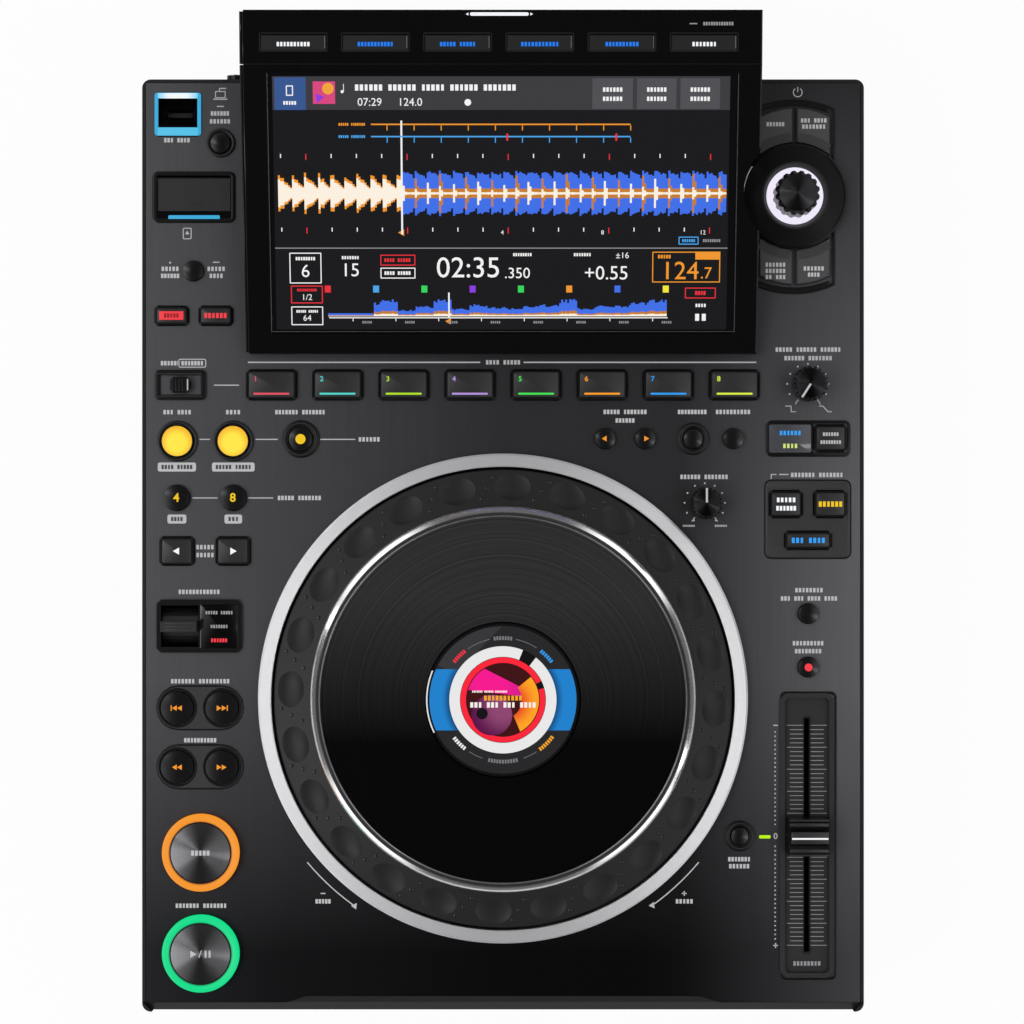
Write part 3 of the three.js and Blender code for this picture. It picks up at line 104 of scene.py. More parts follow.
def add_node(
    tree: Tree,
    kind: str,
    settings: dict[str, object] | None = None,
    links: dict[object, Socket | bpy.types.Node] | None = None,
) -> bpy.types.Node:
    """Adds one shader node with its settings and its incoming links.

    Args:
        tree: the node tree that gets the node.
        kind: Blender's name of the node type, without ShaderNode in front.
        settings: properties by name, or input values by socket name or number.
        links: what feeds its inputs, by name or number: a socket, or a node for its first output.

    Returns:
        The new node.
    """
    node = tree.nodes.new(f"ShaderNode{kind}")
    for name, value in (settings or {}).items():
        if isinstance(name, str) and hasattr(node, name):
            setattr(node, name, value)
        else:
            node.inputs[name].default_value = value
    for name, source in (links or {}).items():
        tree.links.new(source if isinstance(source, Socket) else source.outputs[0], node.inputs[name])
    return node


@dataclass(frozen=True)
class Finish:
    """A real material as it leaves its tool.

    Attributes:
        name: the material's plain name.
        colour: sRGB hex of the surface.
        roughness: how far it scatters a reflection, from 0 to 1.
        metallic: 1 for bare metal.
        grain: how the surface was made.
        pitch: millimetres between two grains, hairlines or grooves.
        relief: millimetres of height of that grain.
        mottle: share by which the colour varies with the grain.
        fade: sRGB hex that the colour runs to at the front edge, a painted shade, or an empty text.
        centre: the turning centre of a turned surface, or the middle of a glow.
        anisotropic: how far the highlight is drawn out across turned grooves.
        glow: emission strength of a lit surface, where 1 shows the colour as written.
        fade_span: front and rear end of that painted shade, in millimetres.
        specular: specular level of a non-metal, 0.5 for a polished one.
        edge: sRGB hex that the colour runs to away from the centre, or an empty text.
        edge_span: radii between which it does so, in millimetres.
        sheen: how bright the left edge, the middle and the right edge are, a painted highlight, or empty.
    """

    name: str
    colour: str
    roughness: float
    metallic: float = 0.0
    grain: Grain = Grain.MOULDED
    pitch: float = 0.6
    relief: float = 0.01
    mottle: float = 0.08
    fade: str = ""
    centre: Point = (0.0, 0.0)
    anisotropic: float = 0.0
    glow: float = 0.0
    fade_span: Point = (-240.0, 200.0)
    specular: float = 0.5
    edge: str = ""
    edge_span: Point = (0.0, 1.0)
    sheen: tuple[float, ...] = ()

    def pattern(self, tree: Tree, place: Socket) -> Socket:
        """Draws the grain as a value from 0 to 1.

        Args:
            tree: the material's node tree.
            place: the Object coordinates.

        Returns:
            The socket that carries the grain.
        """
        per_metre = 1 / (self.pitch * MM)
        if self.grain is Grain.TURNED:
            reach = add_node(tree, "VectorMath", {"operation": "LENGTH"}, {0: self.spoke(tree, place)})
            scale = {"operation": "MULTIPLY", 1: per_metre}
            turns = add_node(tree, "Math", scale, {0: reach.outputs["Value"]})
            outward = {"noise_dimensions": "1D", "Scale": 1.0}
            return add_node(tree, "TexNoise", outward, {"W": turns}).outputs[0]
        if self.grain is Grain.PIXELS:
            return add_node(tree, "TexChecker", {"Scale": per_metre}, {"Vector": place}).outputs["Fac"]
        scale = (per_metre, per_metre / 200, per_metre) if self.grain is Grain.BRUSHED else (per_metre,) * 3
        spread = add_node(tree, "Mapping", {"Scale": scale}, {"Vector": place})
        detail = 5.0 if self.grain is Grain.POWDER else 2.0
        noise = {"Scale": 1.0, "Detail": detail, "Roughness": 0.6}
        return add_node(tree, "TexNoise", noise, {"Vector": spread}).outputs[0]

    def spoke(self, tree: Tree, place: Socket) -> Socket:
        """Gives the level way from the turning centre to a place.

        Args:
            tree: the material's node tree.
            place: the Object coordinates.

        Returns:
            The socket that carries it, in metres.
        """
        middle = Vector((*self.centre, 0)) * MM
        spot = add_node(tree, "VectorMath", {"operation": "SUBTRACT", 1: middle}, {0: place})
        level = {"operation": "MULTIPLY", 1: (1, 1, 0)}
        return add_node(tree, "VectorMath", level, {0: spot}).outputs[0]

    def shades(self, tree: Tree, place: Socket, grain: Socket) -> Socket:
        """Mixes the colour with its grain, painted shade to the front, painted side highlights and its run
        outwards.

        Args:
            tree: the material's node tree.
            place: the Object coordinates.
            grain: the grain as a value from 0 to 1.

        Returns:
            The socket that carries the colour.
        """
        base = linear(self.colour)
        dark = tuple(c * (1 - self.mottle) for c in base[:3]) + (1.0,)
        light = tuple(min(1.0, c * (1 + self.mottle)) for c in base[:3]) + (1.0,)
        mixed = add_node(tree, "Mix", {"data_type": "RGBA", 6: dark, 7: light}, {0: grain}).outputs[2]
        # Painted shade: the colour darkens towards the front edge, on the deck less so towards both sides.
        if self.fade:
            spot = add_node(tree, "SeparateXYZ", links={0: place}).outputs
            front_end, rear_end = (end * MM for end in self.fade_span)
            share = add_node(tree, "MapRange", {1: front_end, 2: rear_end, 3: 1.0, 4: 0.0}, {0: spot["Y"]})
            if self.sheen:
                for side in (PAINTED_SHADE_RIGHT, PAINTED_SHADE_LEFT):
                    less = add_node(tree, "MapRange", side, {0: spot["X"]})
                    share = add_node(tree, "Math", {"operation": "MULTIPLY"}, {0: share, 1: less})
            pairs = zip(linear(self.fade)[:3], base[:3], strict=True)
            ratio = tuple(end / max(start, 1e-4) for end, start in pairs) + (1.0,)
            front = add_node(tree, "Mix", {"data_type": "RGBA", 6: (1, 1, 1, 1), 7: ratio}, {0: share})
            product = {"data_type": "RGBA", "blend_type": "MULTIPLY", 0: 1.0}
            mixed = add_node(tree, "Mix", product, {6: mixed, 7: front.outputs[2]}).outputs[2]
        # Painted highlight: brighter to both sides than in the middle, the right side less so towards the
        # rear.
        if self.sheen:
            left, dip, right = self.sheen
            spot = add_node(tree, "SeparateXYZ", links={0: place}).outputs
            fall = add_node(tree, "MapRange", {**PAINTED_SHEEN_LEFT, 3: left, 4: dip}, {0: spot["X"]})
            rise = add_node(tree, "MapRange", {**PAINTED_SHEEN_RIGHT, 3: 0.0, 4: right - dip}, {0: spot["X"]})
            rear = add_node(tree, "MapRange", PAINTED_SHEEN_REAR, {0: spot["Y"]})
            both = add_node(tree, "Math", {"operation": "MULTIPLY_ADD"}, {0: rise, 1: rear, 2: fall})
            mixed = add_node(tree, "VectorMath", {"operation": "SCALE"}, {0: mixed, "Scale": both}).outputs[0]
        if self.edge:
            reach = add_node(tree, "VectorMath", {"operation": "LENGTH"}, {0: self.spoke(tree, place)})
            near, far = (end * MM for end in self.edge_span)
            run = {"interpolation_type": "SMOOTHSTEP", 1: near, 2: far, 3: 0.0, 4: 1.0}
            out = add_node(tree, "MapRange", run, {0: reach.outputs["Value"]})
            outer = {"data_type": "RGBA", 7: linear(self.edge)}
            mixed = add_node(tree, "Mix", outer, {0: out, 6: mixed}).outputs[2]
        return mixed

    def material(self) -> bpy.types.Material:
        """Builds the material, or finds it if it was built before.

        Returns:
            The Blender material.
        """
        found = bpy.data.materials.get(self.name)
        if found:
            return found
        made = bpy.data.materials.new(self.name)
        made.use_nodes = True
        tree = made.node_tree
        shader = tree.nodes["Principled BSDF"]
        shader.inputs["Metallic"].default_value = self.metallic
        shader.inputs["Specular IOR Level"].default_value = self.specular
        place = add_node(tree, "TexCoord").outputs["Object"]
        grain = self.pattern(tree, place)
        colour = self.shades(tree, place, grain)
        if self.glow:
            shader.inputs["Base Color"].default_value = linear("#101012")
            shader.inputs["Emission Strength"].default_value = self.glow
            tree.links.new(colour, shader.inputs["Emission Color"])
        else:
            tree.links.new(colour, shader.inputs["Base Color"])
        rough = {1: 0.0, 2: 1.0, 3: self.roughness * 0.88, 4: self.roughness * 1.12}
        tree.links.new(add_node(tree, "MapRange", rough, {0: grain}).outputs[0], shader.inputs["Roughness"])
        if self.relief:
            bump = add_node(tree, "Bump", {"Strength": 1.0, "Distance": self.relief * MM}, {"Height": grain})
            tree.links.new(bump.outputs[0], shader.inputs["Normal"])
        if self.anisotropic:
            shader.inputs["Anisotropic"].default_value = self.anisotropic
            tree.links.new(self.spoke(tree, place), shader.inputs["Tangent"])
        return made

    def like(self, name: str = "", colour: str = "", **changes: object) -> Self:
        """Gives a finish like this one, with some of its values changed."""
        return replace(self, name=name or self.name, colour=colour or self.colour, **changes)


def dress(obj: Piece, finish: Finish) -> None:
    """Gives every face of a piece or CAD node one finish."""
    obj.data.materials.clear()
    obj.data.materials.append(finish.material())


def dress_nodes(finish: Finish, *names: str) -> None:
    """Gives the CAD nodes of those names one finish."""
    for name in names:
        dress(NODES[name], finish)


def object_mode(piece: Piece | None = None) -> None:
    """Leaves edit mode with nothing selected but the piece that is to be worked on.

    Args:
        piece: that piece, which also becomes the active one, or None.
    """
    if bpy.context.mode == "EDIT_MESH":
        bpy.ops.object.mode_set(mode="OBJECT")
    bpy.ops.object.select_all(action="DESELECT")
    if piece:
        piece.select_set(True)
        bpy.context.view_layer.objects.active = piece


def hand_over(piece: Piece, finish: Finish, body: str) -> Piece:
    """Dresses a shaped piece, lets it ride on its body and reports it.

    Args:
        piece: the piece.
        finish: its finish.
        body: the CAD body that it rides on.

    Returns:
        The piece.
    """
    dress(piece, finish)
    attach(piece, body)
    log.info("%s rides on %s", piece.name, body)
    return piece


def polar(centre: Point, reach: float, degrees: float) -> Point:
    """Gives the spot at that distance and direction from a centre."""
    turn = math.radians(degrees)
    return centre[0] + reach * math.cos(turn), centre[1] + reach * math.sin(turn)


class Bench:
    """Modelling by hand in edit mode: flat outlines first, then walls and bevels."""

    def __init__(self, name: str, level: float = DECK) -> None:
        """Starts an empty piece in edit mode.

        Args:
            name: the piece's name.
            level: height of its outlines above the table.
        """
        self.level = level
        object_mode()
        bpy.ops.mesh.primitive_plane_add(size=MM)
        self.obj = bpy.context.object
        self.obj.name = name
        self.obj.data.name = name
        bpy.ops.object.mode_set(mode="EDIT")
        bpy.ops.mesh.delete(type="VERT")

    def resume(self) -> None:
        """Goes back to drawing on this piece after another."""
        object_mode(self.obj)
        bpy.ops.object.mode_set(mode="EDIT")
        bpy.ops.mesh.select_all(action="DESELECT")

    def at(self, x: float, y: float) -> tuple[float, float, float]:
        """Gives a spot on the piece's level in metres."""
        return x * MM, y * MM, self.level * MM

    def plate(
        self, x: float, y: float, width: float, depth: float, corner: float = 0.0, turn: float = 0.0
    ) -> Self:
        """Draws a rectangle, with rounded corners if asked.

        Args:
            x: its middle across.
            y: its middle along.
            width: its size across.
            depth: its size along.
            corner: radius of its corners.
            turn: degrees that it is turned, counter-clockwise.

        Returns:
            This bench.
        """
        spot = self.at(x, y)
        bpy.ops.mesh.primitive_plane_add(size=1, location=spot)
        bpy.ops.transform.resize(value=(width * MM, depth * MM, 1), center_override=spot)
        if corner:
            bpy.ops.mesh.bevel(offset=corner * MM, segments=4, affect="VERTICES")
        self.turn(spot, turn)
        return self

    def turn(self, spot: Sequence[float], degrees: float) -> None:
        """Turns what is selected about a spot, counter-clockwise."""
        if degrees:
            bpy.ops.transform.rotate(value=-math.radians(degrees), orient_axis="Z", center_override=spot)

    def disc(self, x: float, y: float, radius: float, sides: int = 32, turn: float = 0.0) -> Self:
        """Draws a filled circle or regular polygon.

        Args:
            x: its middle across.
            y: its middle along.
            radius: its outer radius.
            sides: corners of the outline.
            turn: degrees that it is turned, counter-clockwise.

        Returns:
            This bench.
        """
        spot = self.at(x, y)
        bpy.ops.mesh.primitive_circle_add(vertices=sides, radius=radius * MM, fill_type="NGON", location=spot)
        self.turn(spot, turn)
        return self

    def hollow(self, band: float) -> None:
        """Leaves only a band of that width of the shape just drawn."""
        bpy.ops.mesh.inset(thickness=band * MM)
        bpy.ops.mesh.delete(type="FACE")

    def frame(self, x: float, y: float, width: float, depth: float, band: float, corner: float = 1.5) -> Self:
        """Draws a rounded rectangular frame.

        Args:
            x: its middle across.
            y: its middle along.
            width: its outer size across.
            depth: its outer size along.
            band: width of its bars.
            corner: radius of its outer corners.

        Returns:
            This bench.
        """
        self.plate(x, y, width, depth, corner)
        self.hollow(band)
        return self

    def ring(
        self, x: float, y: float, outer: float, inner: float, sides: int = 48, sector: Point = (0.0, 360.0)
    ) -> Self:
        """Draws a ring, or a part of one.

        Args:
            x: its middle across.
            y: its middle along.
            outer: its outer radius.
            inner: its inner radius.
            sides: corners of the full circle.
            sector: first and last angle that stay, in degrees, counter-clockwise.

        Returns:
            This bench.
        """
        bpy.ops.mesh.select_all(action="SELECT")
        bpy.ops.mesh.hide()
        self.disc(x, y, outer, sides)
        self.hollow((outer - inner) * math.cos(math.pi / sides))
        if sector[1] - sector[0] < 360:
            shape = bmesh.from_edit_mesh(self.obj.data)
            for face in [f for f in shape.faces if not f.hide]:
                middle = face.calc_center_median()
                angle = math.degrees(math.atan2(middle.y - y * MM, middle.x - x * MM))
                face.select_set((angle - sector[0]) % 360 > sector[1] - sector[0])
            bmesh.update_edit_mesh(self.obj.data)
            bpy.ops.mesh.delete(type="FACE")
        bpy.ops.mesh.reveal(select=False)
        return self

    def trim(self, front: float, rear: float) -> None:
        """Cuts off what is drawn in front of one line and behind another.

        Args:
            front: place of the first line, along.
            rear: place of the second.
        """
        for y, side in ((front, -1), (rear, 1)):
            bpy.ops.mesh.select_all(action="SELECT")
            bpy.ops.mesh.bisect(plane_co=(0, y * MM, 0), plane_no=(0, side, 0), clear_outer=True)

    def slice(self, x: float, y: float, across: float, along: float) -> None:
        """Cuts the shape just drawn along a line through a spot and keeps the side an arrow points to."""
        bpy.ops.mesh.bisect(plane_co=self.at(x, y), plane_no=(across, along, 0), clear_inner=True)

    def arrow(self, x: float, y: float, size: float, turn: float = 0.0) -> None:
        """Draws a triangle that points along +X, turned by an angle."""
        self.disc(x, y, size, 3, turn - 90)

    def legend(self, x: float, y: float, width: float, parts: int = 1, height: float = 1.5) -> None:
        """Draws a row of small blocks, in groups, where the real deck has a printed legend.

        Args:
            x: the row's middle across.
            y: its middle along.
            width: length of the row.
            parts: how many groups it has.
            height: height of a block.
        """
        step = height * 0.78
        count = max(parts, round(width / step))
        breaks = {round(count * (i + 1) / parts) - 1 for i in range(parts - 1)}
        for index in range(count):
            if index in breaks:
                continue
            size = height * (0.45 if index % 4 == 2 else 0.56)
            self.plate(x + (index - (count - 1) / 2) * width / count, y, size, height)

    def glyphs(self, text: str, x: float, y: float, height: float, bold: float = 0.0) -> None:
        """Writes plain digits or signs, centred on a spot.

        Args:
            text: the digits.
            x: their middle across.
            y: their middle along.
            height: height of a digit.
            bold: how far the strokes are widened.
        """
        object_mode()
        bpy.ops.object.text_add(location=self.at(x, y))
        curve = bpy.context.object
        curve.data.body = text
        curve.data.size = height * MM / 0.73
        curve.data.align_x = curve.data.align_y = "CENTER"
        curve.data.offset = bold * MM
        curve.data.resolution_u = 4
        bpy.ops.object.convert(target="MESH")
        self.obj.select_set(True)
        bpy.context.view_layer.objects.active = self.obj
        bpy.ops.object.join()
        bpy.ops.object.mode_set(mode="EDIT")
        bpy.ops.mesh.select_all(action="DESELECT")

    def finish(
        self,
        finish: Finish,
        body: str = "root",
        rise: float = 0.0,
        bevel: float = 0.0,
        tilt: float = 0.0,
        pivot: tuple[float, float, float] = (0.0, 0.0, 0.0),
        slot: str = "",
    ) -> Piece:
        """Ends the piece: gives it walls, bevels, its place, its finish and its body.

        Args:
            finish: its finish.
            body: the CAD body that it rides on.
            rise: how far its top stands above the outline, or 0 for a flat mark.
            bevel: width of the bevel on its sharp edges.
            tilt: degrees that it leans back about the X axis.
            pivot: where the piece's own origin goes, in millimetres.
            slot: the record's material slot that it belongs to; it is not used.

        Returns:
            The finished piece.
        """
        object_mode(self.obj)
        if rise:
            wall = self.obj.modifiers.new("wall", "SOLIDIFY")
            wall.thickness = rise * MM
            wall.offset = 1.0
        if bevel:
            edge = self.obj.modifiers.new("edge", "BEVEL")
            edge.width = bevel * MM
            edge.segments = 2
            edge.limit_method = "ANGLE"
            edge.angle_limit = math.radians(50)
        for modifier in list(self.obj.modifiers):
            bpy.ops.object.modifier_apply(modifier=modifier.name)
        if tilt or any(pivot):
            self.obj.rotation_euler.x = math.radians(tilt)
            self.obj.location = Vector(pivot) * MM
            bpy.ops.object.transform_apply(location=True, rotation=True, scale=True)
        if rise:
            bpy.ops.object.shade_smooth_by_angle(angle=math.radians(30))
        return hand_over(self.obj, finish, body)


def revolve(
    name: str, profile: Sequence[Point], centre: Point, finish: Finish, body: str,
    sides: int = 96, closed: bool = True,
) -> Piece:
    """Turns a profile about an upright axis, as on a lathe.

    Args:
        name: the piece's name.
        profile: radius and height above the table of each corner, in order.
        centre: the axis' place.
        finish: its finish.
        body: the CAD body that it rides on.
        sides: steps round the axis.
        closed: whether the profile's last corner joins its first.

    Returns:
        The turned piece.
    """
    bench = Bench(name, profile[0][1])
    spots = [Vector(((centre[0] + r) * MM, centre[1] * MM, z * MM)) for r, z in profile]
    shape = bmesh.from_edit_mesh(bench.obj.data)
    corners = [shape.verts.new(spot) for spot in spots]
    loop = corners + corners[:1] if closed else corners
    for first, second in zip(loop, loop[1:], strict=False):
        shape.edges.new((first, second))
    bmesh.update_edit_mesh(bench.obj.data)
    bpy.ops.mesh.select_all(action="SELECT")
    bpy.ops.mesh.spin(steps=sides, angle=math.tau, center=(centre[0] * MM, centre[1] * MM, 0), axis=(0, 0, 1))
    bpy.ops.mesh.select_all(action="SELECT")
    bpy.ops.mesh.remove_doubles(threshold=1e-6)
    bpy.ops.mesh.normals_make_consistent(inside=False)
    bpy.ops.object.mode_set(mode="OBJECT")
    bpy.ops.object.shade_smooth_by_angle(angle=math.radians(30))
    return hand_over(bench.obj, finish, body)


def carve(obj: Piece, tool: Bench) -> None:
    """Takes a closed shape away from a piece and throws the shape away.

    Args:
        obj: the piece.
        tool: the bench that holds the shape.
    """
    object_mode(obj)
    cut = obj.modifiers.new("cut", "BOOLEAN")
    cut.object = tool.obj
    cut.solver = "EXACT"
    bpy.ops.object.modifier_apply(modifier="cut")
    bpy.data.objects.remove(tool.obj)


def pierce(obj: Piece, holes: Sequence[tuple[float, ...]], level: float = DECK) -> None:
    """Cuts upright holes through a piece.

    Args:
        obj: the piece.
        holes: for each hole its middle and radius, or its middle, width, depth and corner radius.
        level: a height that the piece crosses.
    """
    drill = Bench("drill", level - 5)
    for hole in holes:
        if len(hole) == 3:
            drill.disc(*hole)
        else:
            drill.plate(*hole)
    object_mode(drill.obj)
    walls = drill.obj.modifiers.new("wall", "SOLIDIFY")
    walls.thickness = 10 * MM
    walls.offset = 1.0
    bpy.ops.object.modifier_apply(modifier="wall")
    carve(obj, drill)


def dome(radius: float, level: float, rise: float, foot: float) -> list[Point]:
    """Gives the profile of a shallow dome, from under its middle to under its edge."""
    arc = [(radius * (step / 7), level + rise * (1 - (step / 7) ** 2)) for step in range(8)]
    return [(0.0, level - foot), *arc, (radius, level - foot)]


def print_rows(name: str, level: float, finish: Finish, body: str, *rows: tuple[float, ...]) -> None:
    """Prints rows of small blocks.

    Args:
        name: the piece's name.
        level: height of the print above the table.
        finish: its ink or lamp.
        body: the CAD body that it rides on.
        rows: for each row its middle, width, groups and height.
    """
    pen = Bench(name, level)
    for row in rows:
        pen.legend(*row)
    pen.finish(finish, body)


def middle(node: str) -> Point:
    """Gives the middle of a CAD node as seen from above, in millimetres."""
    low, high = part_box(node)
    return (low.x + high.x) / 2 / MM, (low.y + high.y) / 2 / MM


def top(node: str) -> float:
    """Gives the height of a CAD node's top above the table, in millimetres."""
    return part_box(node)[1].z / MM


# Dark anodised aluminium, hairline brushed front to back: fine streaks; painted shade to the front, painted
# highlight to the sides
ANODISED = Finish(
    "anodised_aluminium", "#5b5b5e", 0.5, 1.0, Grain.BRUSHED, 0.5, 0.004, 0.16,
    fade="#202022", fade_span=(-198.0, -70.0), sheen=(1.0, 0.41, 1.635),
)
# Powder coated steel: a fine orange peel that breaks up every reflection
POWDER_COAT = Finish("powder_coated_steel", "#1e1e20", 0.6, grain=Grain.POWDER, pitch=0.9, relief=0.03)
# ABS moulded against an etched tool: an even satin black
MOULDED_ABS = Finish("moulded_abs", "#1c1c1e", 0.55, pitch=0.5, relief=0.006, specular=0.25)
KEY_ABS = Finish("key_cap_abs", "#202022", 0.42, pitch=0.4, relief=0.004)
CLUSTER_ABS = Finish("warm_grey_key_abs", "#474749", 0.45, pitch=0.4, relief=0.005)
DARK_ABS = Finish("dark_frame_abs", "#0a0a0b", 0.32, pitch=0.5, relief=0.003, specular=0.28)
PANEL_ABS = Finish("panel_abs", "#29292b", 0.5, pitch=0.5, relief=0.005)
# Acrylic and lacquered ABS, polished: almost no grain, a sharp reflection
POLISHED_ACRYLIC = Finish("polished_black_acrylic", "#08080a", 0.09, pitch=6.0, relief=0.001, mottle=0.15)
GLASS_COVER = Finish("cover_glass", "#1f1f22", 0.07, pitch=4.0, relief=0.0005, mottle=0.04)
# Aluminium turned fine, then anodised: a satin metal that is brightest to both sides
TURNED_ALUMINIUM = Finish(
    "satin_turned_aluminium", "#f0f0f2", 0.62, 0.85, Grain.TURNED, 0.35, 0.002, 0.03,
    centre=WHEEL, anisotropic=0.8,
)
BRIGHT_EDGE = Finish("turned_bright_edge", "#f2f2f4", 0.16, 1.0, Grain.TURNED, 0.2, 0.002, 0.04)
THIN_EDGE = Finish("bright_trim", "#b9b9bd", 0.3, 1.0, pitch=0.8, relief=0.002)
# Dim metal strips laid along the pod's edges, as painted edge highlights
PAINTED_EDGE_HIGHLIGHT = THIN_EDGE.like("painted_edge_highlight", "#5c5c60")
# Silicone rubber: matt, with a dusty look where it turns away
SILICONE = Finish("silicone_rubber", "#232324", 0.45, pitch=0.7, relief=0.008, specular=0.22)
STUD_SILICONE = Finish("glossy_silicone", "#1b1b1c", 0.2, pitch=0.9, relief=0.003)
DOME_ABS = Finish("glossy_dome_abs", "#121213", 0.2, pitch=1.6, relief=0.002)
KEY_FACE = Finish("key_face_abs", "#232325", 0.38, pitch=0.4, relief=0.004)
FOOT_RUBBER = Finish("foot_rubber", "#222224", 0.85, pitch=0.8, relief=0.03)
# Platter lid, turned with fine grooves that catch light as rings; its colour is painted darker towards the
# front, a painted shade
GROOVED_LID = Finish(
    "grooved_lacquer_lid", "#333334", 0.34, grain=Grain.TURNED, pitch=0.9, relief=0.03, mottle=0.55,
    centre=WHEEL, fade="#020202", fade_span=(-102.0, -36.0), specular=0.08,
)
# Boards, steel and sheet parts inside
SOLDER_MASK = Finish("solder_mask", "#1d4a2c", 0.4, pitch=1.2, relief=0.01, mottle=0.2)
ZINC_STEEL = Finish("zinc_plated_steel", "#a5a8ad", 0.32, 1.0, pitch=3.0, relief=0.004, mottle=0.12)
# Screen printing ink, a little rougher than what it lies on
WHITE_INK = Finish(
    "white_printing_ink", "#cfcfd1", 0.6, grain=Grain.POWDER, pitch=0.3, relief=0.001, mottle=0.04
)
GREY_INK = Finish("grey_printing_ink", "#a2a2a5", 0.6, grain=Grain.POWDER, pitch=0.3, relief=0.001)
BLACK_INK = Finish("black_printing_ink", "#101011", 0.55, grain=Grain.POWDER, pitch=0.3, relief=0.001)
RED_RING = Finish("red_socket_ring", "#b3222a", 0.5, pitch=0.6, relief=0.002)


def lamp(name: str, colour: str, mottle: float = 0.06, **run: object) -> Finish:
    """Gives the finish of a frosted lens with a lamp behind it, whose colour may run outwards."""
    return Finish(name, colour, 0.4, pitch=1.6, relief=0.002, mottle=mottle, glow=1.0, specular=0.2, **run)


def pixels(name: str, colour: str, **run: object) -> Finish:
    """Gives a lit colour on the screen, with its pixel grid drawn coarse enough to show."""
    how = {"grain": Grain.PIXELS, "pitch": 0.25, "relief": 0.0, "mottle": 0.05, "glow": 1.0, **run}
    return Finish(name, colour, 0.12, **how)


ORANGE_LENS = lamp("orange_lens", "#f4962a")
GREEN_LENS = lamp("green_lens", "#06dc8a")
RED_LENS = lamp("red_lens", "#f23b44")
BLUE_LENS = lamp("blue_lens", "#2f9df2")
SKY_LENS = lamp("sky_blue_lens", "#39a9d8")
WHITE_LENS = lamp("white_lens", "#f4f6fa")
LIME_LENS = lamp("lime_lens", "#b9ee12")
DEEP_BLUE_LENS = lamp("deep_blue_lens", "#1b7cf0")
YELLOW_LENS = lamp("yellow_lens", "#f0c418")
PAD_COLOURS = ("#e0505f", "#4fd0c8", "#b0e020", "#b48fdc", "#40e050", "#f59a20", "#2a9af0", "#d8ec40")


def spun(name: str, centre: Point, colour: str = "#6e6e70") -> Finish:
    """Gives a spun metal disc, whose turning marks draw its highlight into a bow tie."""
    return Finish(name, colour, 0.3, 1.0, Grain.TURNED, 0.3, 0.002, 0.3, centre=centre, anisotropic=0.95)


